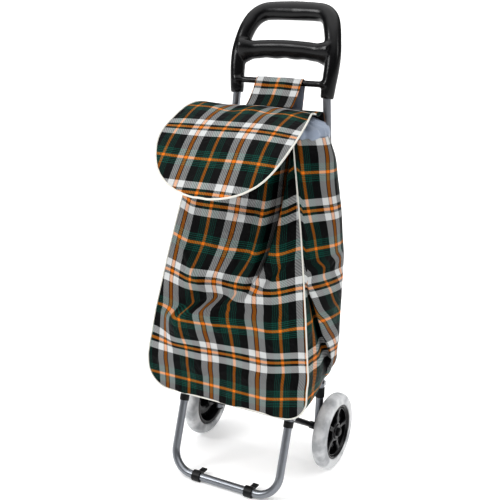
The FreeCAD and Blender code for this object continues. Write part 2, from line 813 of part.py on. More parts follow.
def bag_panels():
    """Front, back and side panels as plates between the bag's sections, then its floor and board."""
    gap = "dims.clear_gap"
    cloth = "dims.cloth"
    front, back = [], []
    sides = {side: [] for side in SIDES}
    for level in LEVELS:
        height, front_half, front_y, rear_half, rear_y = (
            f"dims.{level}_{word}" for word in SECTION_WORDS
        )
        front.append((height, band_corners(front_half, front_y, f"{front_y} + {cloth}")))
        back.append((height, band_corners(rear_half, f"{rear_y} - {cloth}", rear_y)))
        near = f"{front_y} + {cloth} + {gap}"
        far = f"{rear_y} - {cloth} - {gap}"
        for side, sign in SIDES.items():
            corners = (
                (f"{sign} * {front_half}", near),
                (f"{sign} * {rear_half}", far),
                (f"{sign} * ({rear_half} - {cloth})", far),
                (f"{sign} * ({front_half} - {cloth})", near),
            )
            sides[side].append((height, corners))
    top_y = "dims.back_top_y"
    back.append(("dims.back_top", band_corners("dims.back_top_half", f"{top_y} - {cloth}", top_y)))
    keep(place(loft("bag_front", front)), "bag_front")
    keep(place(loft("bag_back", back)), "bag_back")
    for side, sections in sides.items():
        keep(place(loft(f"bag_side_{side}", sections)), f"bag_side_{side}")

    inset = f"({cloth} + {gap})"
    floor_outline = mirrored_outline(
        (f"dims.floor_front_half - {inset}", f"dims.floor_front_y + {inset}"),
        (f"dims.floor_rear_half - {inset}", f"dims.floor_rear_y - {inset}"),
    )
    board_outline = mirrored_outline(
        ("dims.board_half", "dims.floor_front_y + dims.board_front_inset"),
        ("dims.board_half", "dims.floor_rear_y - dims.board_rear_inset"),
    )
    for label, outline, thickness, lift in (
        ("bag_floor", floor_outline, cloth, "0"),
        ("bag_board", board_outline, "dims.board_thickness", f"{cloth} + {gap}"),
    ):
        body = new_body(label)
        sketch = new_sketch(body, f"{label}_outline")
        polygon(sketch, outline)
        pad(body, sketch, thickness)
        keep(place(body, z=f"dims.bag_floor + {lift}"), label)


def mirrored_outline(front, rear):
    """The four corners of a level plate, from its right front and right rear corners."""
    return ((f"-({front[0]})", front[1]), front, rear, (f"-({rear[0]})", rear[1]))


def band_corners(half, near, far):
    """The four corners of a panel's section across the bag."""
    return ((f"-{half}", near), (half, near), (half, far), (f"-{half}", far))


def bag_collar():
    """The gathered neck inside the flap: upright walls that draw in to an open mouth."""
    shells = []
    for name, inset in (("collar_outside", "0"), ("collar_inside", "dims.collar_cloth")):
        sections = []
        for level in COLLAR_LEVELS:
            height, front_half, front_y, rear_half, rear_y = (
                f"dims.{level}_{word}" for word in SECTION_WORDS
            )
            corners = (
                (f"-{front_half} + {inset}", f"{front_y} + {inset}"),
                (f"{front_half} - {inset}", f"{front_y} + {inset}"),
                (f"{rear_half} - {inset}", f"{rear_y} - {inset}"),
                (f"-{rear_half} + {inset}", f"{rear_y} - {inset}"),
            )
            sections.append((height, corners))
        shells.append(loft(name, sections))
    collar = doc.addObject("Part::Cut", "bag_collar")
    collar.Base, collar.Tool = shells
    doc.recompute()
    keep(place(collar), "bag_collar")


def flap_depth(height, cloth=0.0):
    """Depth of the flap's front slope at a height, on a surface cloth below the outer one."""
    slope = math.radians(size("flap_slope"))
    run = size("flap_slope_run")
    foot = size("flap_widest") - size("flap_drop")
    y = size("flap_front_y") + cloth * math.sin(slope)
    z = foot - cloth * math.cos(slope)
    top = z + run * math.sin(slope)
    if height <= top:
        return y + (height - z) / math.tan(slope)
    radius = size("flap_bend") - cloth
    centre_y = y + run * math.cos(slope) + radius * math.sin(slope)
    centre_z = top - radius * math.cos(slope)
    return centre_y - math.sqrt(max(radius**2 - (height - centre_z) ** 2, 0))


def flap_half(height):
    """Half width of the flap's outline at a height above its widest line."""
    share = (height - size("flap_widest")) / size("flap_rise")
    return size("flap_half") + share * (size("flap_rear_half") - size("flap_half"))


def bag_flap():
    """Rounded flap that hinges on the back panel's top hem and falls over the front."""
    body = new_body("bag_flap")
    section = new_sketch(body, "flap_section", "YZ_Plane")
    steps = (
        ("dims.flap_slope_run", "-dims.flap_bend_turn", "dims.flap_bend"),
        ("dims.flap_rear_run",),
    )
    start = ("dims.flap_front_y", "dims.flap_widest - dims.flap_drop")
    band_profile(section, start, "dims.flap_slope", steps, "dims.flap_cloth")
    pad(body, section, "2 * dims.flap_half", centred=True)
    outline = new_sketch(body, "flap_outline", "XZ_Plane")
    high = "dims.flap_widest + 60"
    far = "2 * dims.flap_half"
    low = "dims.flap_widest - 3 * dims.flap_drop"
    polygon(outline, ((f"-{far}", low), (far, low), (far, high), (f"-{far}", high)))
    half, drop, level = size("flap_half"), size("flap_drop"), size("flap_widest")
    top = [Vector(s * size("flap_rear_half"), level + size("flap_rise"), 0) for s in (-1, 1)]
    waist = [Vector(s * half, level, 0) for s in (-1, 1)]
    oval = Part.Ellipse(Vector(0, level, 0), half, drop)
    curve = outline.addGeometry(Part.ArcOfEllipse(oval, math.pi, 2 * math.pi))
    right = outline.addGeometry(Part.LineSegment(waist[1], top[1]))
    across = outline.addGeometry(Part.LineSegment(top[1], top[0]))
    left = outline.addGeometry(Part.LineSegment(top[0], waist[0]))
    for a, b in ((curve, right), (right, across), (across, left), (left, curve)):
        join(outline, "Coincident", a, 2, b, 1)
    bind(outline, "DistanceX", -1, 1, right, 1, to="dims.flap_half")
    bind(outline, "DistanceY", -1, 1, right, 1, to="dims.flap_widest")
    bind(outline, "DistanceX", -1, 1, across, 1, to="dims.flap_rear_half")
    bind(outline, "DistanceY", -1, 1, across, 1, to="dims.flap_widest + dims.flap_rise")
    cut_through(body, outline)
    keep(place(body), "bag_flap")


def piping():
    """Round trim sewn along the front panel's edges and along the flap's edge."""
    radius = size("piping_radius")
    stand_off = radius + 0.7
    half = [
        Vector(size(f"{level}_front_half"), size(f"{level}_front_y") - stand_off, size(f"{level}_height"))
        for level in reversed(LEVELS)
    ]
    half[0].z -= size("piping_lower")
    radii = [size("piping_top_bend"), size("piping_top_bend"), size("piping_waist_bend")]
    radii.append(size("piping_corner_bend"))
    wire = rounded_wire(mirror_path(half), radii + radii[::-1])
    feature("front_piping", sweep(wire, radius))

    cloth = size("flap_cloth") / 2
    edge = radius + size("piping_edge")
    level = size("flap_widest")
    half = []
    shoulder = level + size("piping_shoulder")
    for y, z in (
        (size("piping_rear_y"), size("piping_rear_height")),
        (size("piping_crown_y"), size("piping_crown_height")),
        (flap_depth(shoulder, cloth), shoulder),
    ):
        half.append(Vector(flap_half(z) + edge, y, z))
    for step in range(int(size("piping_turns"))):
        angle = math.radians(step * size("piping_turn"))
        x = (size("flap_half") + edge) * math.cos(angle)
        z = level - (size("flap_drop") + edge) * math.sin(angle)
        half.append(Vector(x, flap_depth(z, cloth), z))
    path = mirror_path(half)
    runs = [a.distanceToPoint(b) for a, b in zip(path, path[1:])]
    radii = [min(pair) for pair in zip(runs, runs[1:])]
    feature("flap_piping", sweep(rounded_wire(path, radii), radius))


def hanging_strap():
    """Cloth loop over the lower crossbar: the front run ends on the back panel's top hem, and the
    longer rear run lies behind the back panel."""
    body = new_body("hanging_strap")
    section = new_sketch(body, "strap_section", "YZ_Plane")
    radius = "(dims.crossbar_radius + dims.clear_gap + dims.strap_cloth)"
    lean = "dims.strap_spread"
    steps = (
        ("dims.strap_front_run", f"-(180 - {lean})", radius),
        ("dims.strap_rear_run",),
    )
    y = f"dims.crossbar_y - {radius} * cos({lean}) - dims.strap_front_run * sin({lean})"
    z = f"dims.crossbar_height + {radius} * sin({lean}) - dims.strap_front_run * cos({lean})"
    band_profile(section, (y, z), f"90 - {lean}", steps, "dims.strap_cloth")
    pad(body, section, "2 * dims.strap_half", centred=True)
    keep(place(body), "hanging_strap")


def tie_loop(side, sign):
    """Webbing loop that ties the bag's lower corner to the upright."""
    loop = ring(
        f"tie_loop_{side}",
        "dims.tube_radius + dims.fit_gap + dims.tie_wall",
        "dims.tube_radius + dims.fit_gap",
        "dims.tie_length",
    )
    y = "dims.axle_y + (dims.tie_height - dims.axle_height) * tan(dims.lean_angle)"
    place(loop, f"{sign} * dims.upright_x", y, "dims.tie_height", Vector(1, 0, 0), "-dims.lean_angle")


# ---------------------------------------------------------------- build


def check_and_write():
    """Stops if any object failed or any sub-part is not sound, then writes one file per sub-part."""
    doc.recompute()
    for item in doc.Objects:
        if "Invalid" in item.State or "Error" in item.State:
            raise RuntimeError(f"{item.Name} failed: {item.State}")
    for label, part in nodes.items():
        if part.Shape.isNull() or not part.Shape.isValid() or not part.Shape.Solids:
            raise RuntimeError(f"{label} is not a sound solid")
    os.makedirs("parts", exist_ok=True)
    for label, part in nodes.items():
        part.Shape.exportStep(f"parts/{label}.step")


for side_name, side_sign in SIDES.items():
    upright(side_name, side_sign)
    brace(side_name, side_sign)
    leg_band(side_name, side_sign)
    foot_glide(side_name, side_sign)
    wheel(side_name, side_sign)
    tie_loop(side_name, side_sign)
foot_frame()
fasteners()
axle()
handle()
bag_panels()
bag_collar()
bag_flap()
piping()
hanging_strap()
check_and_write()
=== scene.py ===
import math

import bmesh
import bpy
import numpy as np
from mathutils import Euler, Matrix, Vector


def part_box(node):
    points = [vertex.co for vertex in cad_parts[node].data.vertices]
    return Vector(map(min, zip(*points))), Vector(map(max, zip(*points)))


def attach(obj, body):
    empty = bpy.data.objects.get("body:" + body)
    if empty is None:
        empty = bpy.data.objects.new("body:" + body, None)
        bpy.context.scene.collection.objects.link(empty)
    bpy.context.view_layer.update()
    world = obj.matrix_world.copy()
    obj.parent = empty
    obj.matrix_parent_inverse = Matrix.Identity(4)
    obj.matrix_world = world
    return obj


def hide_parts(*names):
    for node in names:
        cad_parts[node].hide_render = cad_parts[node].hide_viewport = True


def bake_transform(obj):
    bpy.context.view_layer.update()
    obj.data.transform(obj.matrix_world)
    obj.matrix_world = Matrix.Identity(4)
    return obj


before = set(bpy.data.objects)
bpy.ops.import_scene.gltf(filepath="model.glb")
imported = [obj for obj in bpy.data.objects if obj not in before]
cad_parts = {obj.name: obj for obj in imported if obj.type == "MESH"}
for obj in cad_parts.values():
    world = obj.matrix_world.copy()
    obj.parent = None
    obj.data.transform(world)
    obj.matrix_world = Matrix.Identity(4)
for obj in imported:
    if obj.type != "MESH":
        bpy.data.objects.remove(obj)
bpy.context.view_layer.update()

MM = 0.001
AXLE_Y = (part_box("axle")[0].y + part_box("axle")[1].y) / 2 / MM  # depths below are told from the axle
WHEEL_Z = (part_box("axle")[0].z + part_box("axle")[1].z) / 2 / MM
HINGE_Z = 736.0
SIDES = {"left": -1, "right": 1}


# ---------------------------------------------------------------- small helpers


def metres(points):
    """Millimetres, with Y told from the axle, to the frame's metres."""
    points = np.asarray(points, float)
    return (points + np.array([0.0, AXLE_Y, 0.0])) * MM


def smooth(x, knots, values):
    """A curve through the knots that bends gently at each and never overshoots."""
    knots, values = np.asarray(knots, float), np.asarray(values, float)
    steps = np.diff(values) / np.diff(knots)
    slopes = np.zeros(len(knots))
    slopes[0], slopes[-1] = steps[0], steps[-1]
    for i in range(1, len(knots) - 1):
        if steps[i - 1] * steps[i] > 0:
            slopes[i] = 2 * steps[i - 1] * steps[i] / (steps[i - 1] + steps[i])
    x = np.clip(x, knots[0], knots[-1])
    i = np.clip(np.searchsorted(knots, x, side="right") - 1, 0, len(knots) - 2)
    span = knots[i + 1] - knots[i]
    t = (x - knots[i]) / span
    return (
        values[i] * (1 + 2 * t) * (1 - t) ** 2
        + slopes[i] * span * t * (1 - t) ** 2
        + values[i + 1] * t * t * (3 - 2 * t)
        + slopes[i + 1] * span * t * t * (t - 1)
    )


def step(x, low, high):
    """0 below low, 1 above high, smooth between."""
    t = np.clip((np.asarray(x, float) - low) / (high - low), 0, 1)
    return t * t * (3 - 2 * t)


def bump(x, centre, width):
    """A smooth hill of height 1 at the centre."""
    return np.exp(-(((np.asarray(x, float) - centre) / width) ** 2))


def spline(points, count):
    """Points spread evenly along a smooth curve through the given ones."""
    points = np.asarray(points, float)
    padded = np.vstack([2 * points[0] - points[1], points, 2 * points[-1] - points[-2]])
    fine = []
    for i in range(1, len(padded) - 2):
        a, b, c, d = padded[i - 1 : i + 3]
        ab, bc, cd = (max(np.linalg.norm(q - p), 1e-6) ** 0.5 for p, q in ((a, b), (b, c), (c, d)))
        for t in np.linspace(0, bc, 24, endpoint=False):
            t0, t1, t2, t3 = -ab, 0.0, bc, bc + cd
            p = (t1 - t) / (t1 - t0) * a + (t - t0) / (t1 - t0) * b
            q = (t2 - t) / (t2 - t1) * b + (t - t1) / (t2 - t1) * c
            r = (t3 - t) / (t3 - t2) * c + (t - t2) / (t3 - t2) * d
            e = (t2 - t) / (t2 - t0) * p + (t - t0) / (t2 - t0) * q
            f = (t3 - t) / (t3 - t1) * q + (t - t1) / (t3 - t1) * r
            fine.append((t2 - t) / (t2 - t1) * e + (t - t1) / (t2 - t1) * f)
    fine.append(points[-1])
    return even(np.array(fine), count)


def lengths(line):
    """How far each point is along a line."""
    return np.concatenate([[0], np.cumsum(np.linalg.norm(np.diff(line, axis=0), axis=1))])


def even(line, count):
    """The same line with its points spread evenly."""
    run = lengths(line)
    at = np.linspace(0, run[-1], count)
    return np.stack([np.interp(at, run, line[:, k]) for k in range(line.shape[1])], axis=1)


def new_object(name, mesh, finishes):
    """Puts a mesh in the scene with its finishes."""
    piece = bpy.data.objects.new(name, mesh)
    bpy.context.scene.collection.objects.link(piece)
    for finish in finishes:
        mesh.materials.append(finish)
    return piece


def surface(name, grid, finishes, cloth=None, ring=False, tube=False, flip=False):
    """A mesh from rows of points. ring joins each row's ends, tube joins the last row to the first,
    flip turns its outer face round. cloth holds each point's place on the flat fabric, in
    millimetres."""
    grid = np.asarray(grid, float)
    rows, columns = grid.shape[:2]
    faces = []
    for i in range(rows if tube else rows - 1):
        below = (i + 1) % rows
        for j in range(columns if ring else columns - 1):
            beside = (j + 1) % columns
            face = (
                i * columns + j,
                i * columns + beside,
                below * columns + beside,
                below * columns + j,
            )
            faces.append(face[::-1] if flip else face)
    mesh = bpy.data.meshes.new(name)
    mesh.from_pydata(metres(grid.reshape(-1, 3)).tolist(), [], faces)
    if cloth is not None:
        held = np.zeros((rows * columns, 3))
        held[:, :2] = np.asarray(cloth, float).reshape(-1, 2)
        layer = mesh.attributes.new("cloth", "FLOAT_VECTOR", "POINT")
        layer.data.foreach_set("vector", held.ravel())
    mesh.shade_smooth()
    return new_object(name, mesh, finishes)


def modify(piece, kind, **settings):
    """Adds a modifier with its settings."""
    modifier = piece.modifiers.new(kind.title(), kind)
    for word, value in settings.items():
        setattr(modifier, word, value)
    return modifier


def apply_all(piece):
    """Turns a piece and its modifiers into a plain mesh."""
    shown = piece.evaluated_get(bpy.context.evaluated_depsgraph_get())
    mesh = bpy.data.meshes.new_from_object(shown)
    old = piece.data
    piece.modifiers.clear()
    piece.data = mesh
    bpy.data.meshes.remove(old)
    return piece


def thicken(piece, thickness, offset=-1.0, rim=0):
    """Gives cloth its thickness: its back takes the piece's second finish, and offset says which
    way it grows. rim is the number of the finish on its cut edge."""
    modify(
        piece,
        "SOLIDIFY",
        thickness=thickness * MM,
        offset=offset,
        use_even_offset=False,
        use_rim=True,
        material_offset=1,
        material_offset_rim=rim,
    )


def settle(piece, body, finish_slot, *nodes):
    """Puts a finished piece on its body, for the nodes that it stands for."""
    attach(piece, body)
    if nodes:
        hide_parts(*nodes)
    return piece


def mended(piece, work=None):
    """Lets work change a piece's mesh, then turns every face outwards."""
    shape = bmesh.new()
    shape.from_mesh(piece.data)
    if work:
        work(shape)
    bmesh.ops.recalc_face_normals(shape, faces=shape.faces)
    shape.to_mesh(piece.data)
    shape.free()
    piece.data.shade_smooth()
    return piece


def close_ends(shape):
    bmesh.ops.holes_fill(shape, edges=[e for e in shape.edges if e.is_boundary])


def drop_loose(shape):
    bmesh.ops.delete(shape, geom=[v for v in shape.verts if not v.link_faces], context="VERTS")


def tube(name, path, radius, finish, sides):
    """A round bar along a path, with closed ends."""
    path = np.asarray(path, float)
    ahead = np.gradient(path, axis=0)
    ahead /= np.linalg.norm(ahead, axis=1)[:, None]
    across = np.cross(ahead[0], [0.31, 0.52, 0.8])  # any start that isn't along the path
    across /= np.linalg.norm(across)
    turn = np.linspace(0, 2 * math.pi, sides, endpoint=False)[:, None]
    rows = []
    for point, way in zip(path, ahead):
        across = across - way * across.dot(way)
        across /= np.linalg.norm(across)
        up = np.cross(way, across)
        rows.append(point + radius * (np.cos(turn) * across + np.sin(turn) * up))
    return mended(surface(name, rows, [finish], ring=True), close_ends)


def turned(name, profile, finish, centre_x, sign, sides=96):
    """A closed profile of (outward, radius) points, turned round the wheels' axis."""
    rows = []
    for turn in np.linspace(0, 2 * math.pi, sides, endpoint=False):
        y, z = math.cos(turn), math.sin(turn)
        rows.append([(centre_x + sign * x, r * y, WHEEL_Z + r * z) for x, r in profile])
    return mended(surface(name, rows, [finish], ring=True, tube=True))


# ---------------------------------------------------------------- materials


def colour(code):
    """An sRGB hex colour as linear values with alpha."""
    values = [int(code[i : i + 2], 16) / 255 for i in (1, 3, 5)]
    return [v / 12.92 if v <= 0.04045 else ((v + 0.055) / 1.055) ** 2.4 for v in values] + [1.0]


def add(tree, kind, settings=(), inputs=()):
    """Adds a node, sets its properties, and sets or links its inputs."""
    node = tree.nodes.new(kind)
    for word, value in dict(settings).items():
        setattr(node, word, value)
    for socket, value in dict(inputs).items():
        if isinstance(value, bpy.types.NodeSocket):
            tree.links.new(value, node.inputs[socket])
        else:
            node.inputs[socket].default_value = value
    return node


def material(name, **surface_values):
    """A new material with only its shader and output."""
    made = bpy.data.materials.new(name)
    made.use_nodes = True
    tree = made.node_tree
    tree.nodes.clear()
    shader = add(tree, "ShaderNodeBsdfPrincipled", {}, surface_values)
    add(tree, "ShaderNodeOutputMaterial", {}, {"Surface": shader.outputs[0]})
    return made, tree, shader


def wire(tree, shader, **links):
    """Links shader sockets to the outputs that feed them."""
    for socket, value in links.items():
        tree.links.new(value, shader.inputs[socket.replace("_", " ")])


def stripes(tree, coordinate, repeat, first, bands, ground):
    """Yarn colours across one repeat of the cloth. bands are (start, end, colour), in millimetres
    after first."""
    shifted = add(tree, "ShaderNodeMath", {"operation": "SUBTRACT"}, {0: coordinate, 1: first})
    turns = add(tree, "ShaderNodeMath", {"operation": "DIVIDE"}, {0: shifted.outputs[0], 1: repeat})
    part = add(tree, "ShaderNodeMath", {"operation": "FRACT"}, {0: turns.outputs[0]})
    ramp = add(tree, "ShaderNodeValToRGB", {}, {0: part.outputs[0]})
    ramp.color_ramp.interpolation = "CONSTANT"
    marks, place = [(0.0, ground)], 0.0
    for start, end, shade in bands:
        if start > place:
            marks.append((place, ground))
        marks.append((start, shade))
        place = end
    marks.append((place, ground))
    stops = ramp.color_ramp.elements
    while len(stops) > 1:
        stops.remove(stops[-1])
    unique = {round(at / repeat, 5): shade for at, shade in marks if at < repeat}
    for number, (at, shade) in enumerate(sorted(unique.items())):
        stop = stops[0] if number == 0 else stops.new(at)
        stop.position = at
        stop.color = colour(shade)
    return ramp.outputs[0]


RIB_DEPTH, RUMPLE = 0.12, 9.0  # how deep the rib and the slow rumples are shaded
CLOUD_SCALE, GRAIN_SCALE, RUMPLE_SCALE = 0.03, 0.9, 0.028  # noise patches in each millimetre
BLACK_YARN, WHITE_YARN, ORANGE_YARN = "#09090b", "#cecfcf", "#da8425"
GREEN_YARN, DARK_GREEN_YARN = "#125f52", "#081c19"
WARP_REPEAT, WEFT_REPEAT, RIB_REPEAT = 103.5, 138.0, 5.6
WARP_FIRST, WEFT_FIRST = -51.75, 256.0  # where a repeat starts on the flat cloth
WARP_BAND, WARP_LINE, WEFT_BAND, WEFT_LINE = 22.25, 74.0, 30.0, 99.0  # centres in one repeat
GREEN_LINES = [4.6, 8.2, 11.8, 15.4]  # fine lines on each side of a single orange line
GREEN_LINE_HALF = 0.8
WARP_SHARE, WEFT_SHARE, BOTH_SHARE = 0.27, 0.38, 0.42  # how much of each yarn shows
WARP_SWING, WEFT_SWING = 0.08, -0.10  # how much the rib changes that


def band_of(centre, parts):
    """Neighbouring stripes of the given widths, as bands about a centre."""
    bands, at = [], centre - sum(width for width, _ in parts) / 2
    for width, shade in parts:
        bands.append((at, at + width, shade))
        at += width
    return bands


def single_line(centre, half):
    """One orange line with fine green lines beside it."""
    fine = [
        (centre + sign * gap - GREEN_LINE_HALF, centre + sign * gap + GREEN_LINE_HALF, GREEN_YARN)
        for sign in (-1, 1)
        for gap in GREEN_LINES
    ]
    return sorted(fine + [(centre - half, centre + half, ORANGE_YARN)])


def tartan_cloth(name):
    """Coated polyester in a 2/2 twill tartan: crisp stripes that mix where they cross, a fine
    diagonal rib, and a soft sheen from the coating."""
    made, tree, shader = material(name, Roughness=0.52, IOR=1.5, **{"Specular IOR Level": 0.09})
    place = add(tree, "ShaderNodeAttribute", {"attribute_name": "cloth"})
    wobble = add(
        tree,
        "ShaderNodeTexNoise",
        {},
        {"Vector": place.outputs["Vector"], "Scale": CLOUD_SCALE, "Detail": 1.0},
    )
    apart = add(tree, "ShaderNodeSeparateXYZ", {}, {0: place.outputs["Vector"]})
    across, along = apart.outputs[0], apart.outputs[1]
    warp_parts = [
        (13.4, WHITE_YARN),
        (1.7, BLACK_YARN),
        (6.8, ORANGE_YARN),
        (1.7, BLACK_YARN),
        (13.4, WHITE_YARN),
    ]
    warp_bands = band_of(WARP_BAND, warp_parts) + single_line(WARP_LINE, 3.0)
    warp = stripes(tree, across, WARP_REPEAT, WARP_FIRST, warp_bands, BLACK_YARN)
    weft_parts = [
        (13.5, WHITE_YARN),
        (5.0, DARK_GREEN_YARN),
        (5.6, ORANGE_YARN),
        (5.0, DARK_GREEN_YARN),
        (13.5, WHITE_YARN),
    ]
    weft_bands = band_of(WEFT_BAND, weft_parts) + single_line(WEFT_LINE, 2.6)
    weft = stripes(tree, along, WEFT_REPEAT, WEFT_FIRST, weft_bands, BLACK_YARN)
    # The real rib is about 1 mm. It is drawn wider, at the finest that still shows.
    slant = add(tree, "ShaderNodeMath", {"operation": "ADD"}, {0: across, 1: along})
    phase = add(
        tree,
        "ShaderNodeMath",
        {"operation": "MULTIPLY"},
        {0: slant.outputs[0], 1: 2 * math.pi / RIB_REPEAT},
    )
    rib = add(tree, "ShaderNodeMath", {"operation": "SINE"}, {0: phase.outputs[0]}).outputs[0]
    parts = []
    for yarn, cover, swing in ((warp, WARP_SHARE, WARP_SWING), (weft, WEFT_SHARE, WEFT_SWING)):
        share = add(
            tree, "ShaderNodeMath", {"operation": "MULTIPLY_ADD"}, {0: rib, 1: swing, 2: cover}
        ).outputs[0]
        part = add(tree, "ShaderNodeVectorMath", {"operation": "SCALE"}, {0: yarn, "Scale": share})
        parts.append(part.outputs[0])
    both = add(tree, "ShaderNodeVectorMath", {"operation": "MULTIPLY"}, {0: warp, 1: weft})
    crossed = add(
        tree,
        "ShaderNodeVectorMath",
        {"operation": "SCALE"},
        {0: both.outputs[0], "Scale": BOTH_SHARE},
    )
    sum_one = add(tree, "ShaderNodeVectorMath", {"operation": "ADD"}, {0: parts[0], 1: parts[1]})
    mixed = add(
        tree,
        "ShaderNodeVectorMath",
        {"operation": "ADD"},
        {0: sum_one.outputs[0], 1: crossed.outputs[0]},
    )
    uneven = add(
        tree, "ShaderNodeMapRange", {}, {0: wobble.outputs[0], "To Min": 0.9, "To Max": 1.1}
    )
    final = add(
        tree,
        "ShaderNodeVectorMath",
        {"operation": "SCALE"},
        {0: mixed.outputs[0], "Scale": uneven.outputs[0]},
    )
    grain = add(
        tree,
        "ShaderNodeTexNoise",
        {},
        {"Vector": place.outputs["Vector"], "Scale": GRAIN_SCALE, "Detail": 2.0},
    )
    height = add(
        tree, "ShaderNodeMath", {"operation": "MULTIPLY_ADD"}, {0: rib, 1: 0.5, 2: grain.outputs[0]}
    )
    rumple = add(
        tree,
        "ShaderNodeTexNoise",
        {},
        {
            "Vector": place.outputs["Vector"],
            "Scale": RUMPLE_SCALE,
            "Detail": 3.0,
            "Distortion": 0.8,
        },
    )
    fine = add(
        tree,
        "ShaderNodeBump",
        {},
        {"Height": height.outputs[0], "Distance": RIB_DEPTH * MM, "Strength": 0.6},
    ).outputs[0]
    wrinkled = add(
        tree,
        "ShaderNodeBump",
        {},
        {"Height": rumple.outputs[0], "Distance": RUMPLE * MM, "Strength": 0.9, "Normal": fine},
    )
    wire(tree, shader, Base_Color=final.outputs[0], Normal=wrinkled.outputs[0])
    return made


THREAD_DEPTH, GRAIN_DEPTH = 0.08, 0.05  # how deep threads and moulded grain are shaded


def mixed_colour(mix):
    """The colour output of a mix node."""
    return next(socket for socket in mix.outputs if socket.type == "RGBA")


def plain_cloth(name, code, rough, sheen=0.0, thread=0.7, painted_fold_shade=0.85):
    """A plain woven cloth: fine crossed threads, and slow noise patches of painted shade that stand in
    for the shade between its folds.
    """
    made, tree, shader = material(
        name, Roughness=rough, IOR=1.48, **({"Sheen Weight": sheen} if sheen else {})
    )
    place = add(tree, "ShaderNodeTexCoord").outputs["Object"]
    cloud = add(tree, "ShaderNodeTexNoise", {}, {"Vector": place, "Scale": 22.0, "Detail": 3.0})
    # painted shade: the noise's low patches take a dimmer copy of the colour, standing in for fold
    # shade
    painted_shade_colour = [c * painted_fold_shade for c in colour(code)[:3]] + [1.0]
    shade = add(
        tree,
        "ShaderNodeMix",
        {"data_type": "RGBA"},
        {"Factor": cloud.outputs[0], "A": painted_shade_colour, "B": colour(code)},
    )
    weave = []
    for direction in ("X", "Z"):
        weave.append(
            add(
                tree,
                "ShaderNodeTexWave",
                {"bands_direction": direction},
                {"Vector": place, "Scale": 2 * math.pi / (20 * thread * MM), "Distortion": 0.4},
            ).outputs[1]
        )
    height = add(tree, "ShaderNodeMath", {"operation": "ADD"}, {0: weave[0], 1: weave[1]})
    threads = add(
        tree,
        "ShaderNodeBump",
        {},
        {"Height": height.outputs[0], "Distance": THREAD_DEPTH * MM, "Strength": 0.5},
    )
    wire(tree, shader, Base_Color=mixed_colour(shade), Normal=threads.outputs[0])
    return made


def moulded(name, code, rough, speckle, speckles, grain, grain_size, metallic=0.0, gloss=0.5):
    """A moulded, cast or sprayed skin: its colour drifts a little, and a fine grain breaks up the
    gloss. A metal keeps the shader's own IOR."""
    coat = {} if metallic else {"IOR": 1.5, "Specular IOR Level": gloss}
    made, tree, shader = material(name, Metallic=metallic, **coat)
    place = add(tree, "ShaderNodeTexCoord").outputs["Object"]
    cloud = add(tree, "ShaderNodeTexNoise", {}, {"Vector": place, "Scale": 28.0, "Detail": 4.0})
    fine = add(
        tree,
        "ShaderNodeTexNoise",
        {},
        {"Vector": place, "Scale": 1 / (grain_size * MM), "Detail": 2.0},
    )
    amount = add(
        tree,
        "ShaderNodeMapRange",
        {},
        {0: cloud.outputs[0], 1: 0.42, 2: 0.62, "To Min": 0.0, "To Max": speckles},
    )
    shade = add(
        tree,
        "ShaderNodeMix",
        {"data_type": "RGBA"},
        {"Factor": amount.outputs[0], "A": colour(code), "B": colour(speckle)},
    )
    polish = add(
        tree,
        "ShaderNodeMapRange",
        {},
        {0: cloud.outputs[0], "To Min": rough * 0.85, "To Max": rough * 1.2},
    )
    skin = add(
        tree,
        "ShaderNodeBump",
        {},
        {"Height": fine.outputs[0], "Distance": GRAIN_DEPTH * MM, "Strength": grain},
    )
    wire(
        tree,
        shader,
        Base_Color=mixed_colour(shade),
        Roughness=polish.outputs[0],
        Normal=skin.outputs[0],
    )
    return made


# Woven, coated polyester: crisp stripes, soft sheen.
TARTAN = tartan_cloth("tartan_polyester_oxford")
# Woven linings, matt, with painted shade in slow patches, and a satin whose painted shade goes much
# deeper, standing in for folds much dimmer than its crests.
LINING = plain_cloth("black_polyester_lining", "#17171a", 0.7)
REVERSE = plain_cloth("blue_grey_coated_reverse", "#98a0ae", 0.55)
COLLAR = plain_cloth("blue_grey_satin", "#9da8ba", 0.4, sheen=0.15, thread=0.5, painted_fold_shade=0.55)
# Extruded PVC over a core: smooth, nearly even in colour, with only faint painted shade.
CORD = plain_cloth("cream_pvc_piping", "#dbd9d1", 0.4, thread=1.2, painted_fold_shade=0.93)
# Blow-moulded and injection-moulded plastics: glossy for the handle and hubs, matt for the clips.
HANDLE_BLACK = moulded(
    "black_gloss_polypropylene", "#08080a", 0.24, "#0e0e10", 0.6, 0.1, 1.4, gloss=0.34
)
HUB_BLACK = moulded("black_gloss_abs_hub", "#0d0d10", 0.24, "#101013", 0.6, 0.12, 1.2, gloss=0.3)
CLIP_BLACK = moulded("black_moulded_nylon", "#0f0f11", 0.42, "#18181a", 0.7, 0.35, 0.5, gloss=0.3)
# Moulded foam: matt, with a slow marbled drift in its grey.
FOAM = moulded("pale_grey_eva_foam", "#d8d9da", 0.75, "#a2a4a7", 0.9, 0.9, 1.6, gloss=0.3)
# Sprayed powder coats on steel tube: the silver one is full of metal flake. The braces' flake-free
# near-black is painted shade, for the shade that their grey tube sits in.
TUBE_PAINT = moulded(
    "silver_grey_powder_coat", "#86898e", 0.3, "#7f8288", 0.5, 0.25, 0.5, metallic=0.85
)
BRACE_PAINTED_SHADE = moulded(
    "painted_shade_black_coat", "#1b1b1e", 0.4, "#242427", 0.5, 0.3, 0.5, gloss=0.35
)
# Plated steel, bright and slightly uneven, and pressed board with a dull face.
STEEL = moulded("zinc_plated_steel", "#b9bbbd", 0.3, "#a0a3a6", 0.5, 0.2, 0.4, metallic=1.0)
BOARD = moulded("dark_fibreboard", "#3a3733", 0.8, "#4a4640", 0.8, 0.8, 1.0, gloss=0.2)

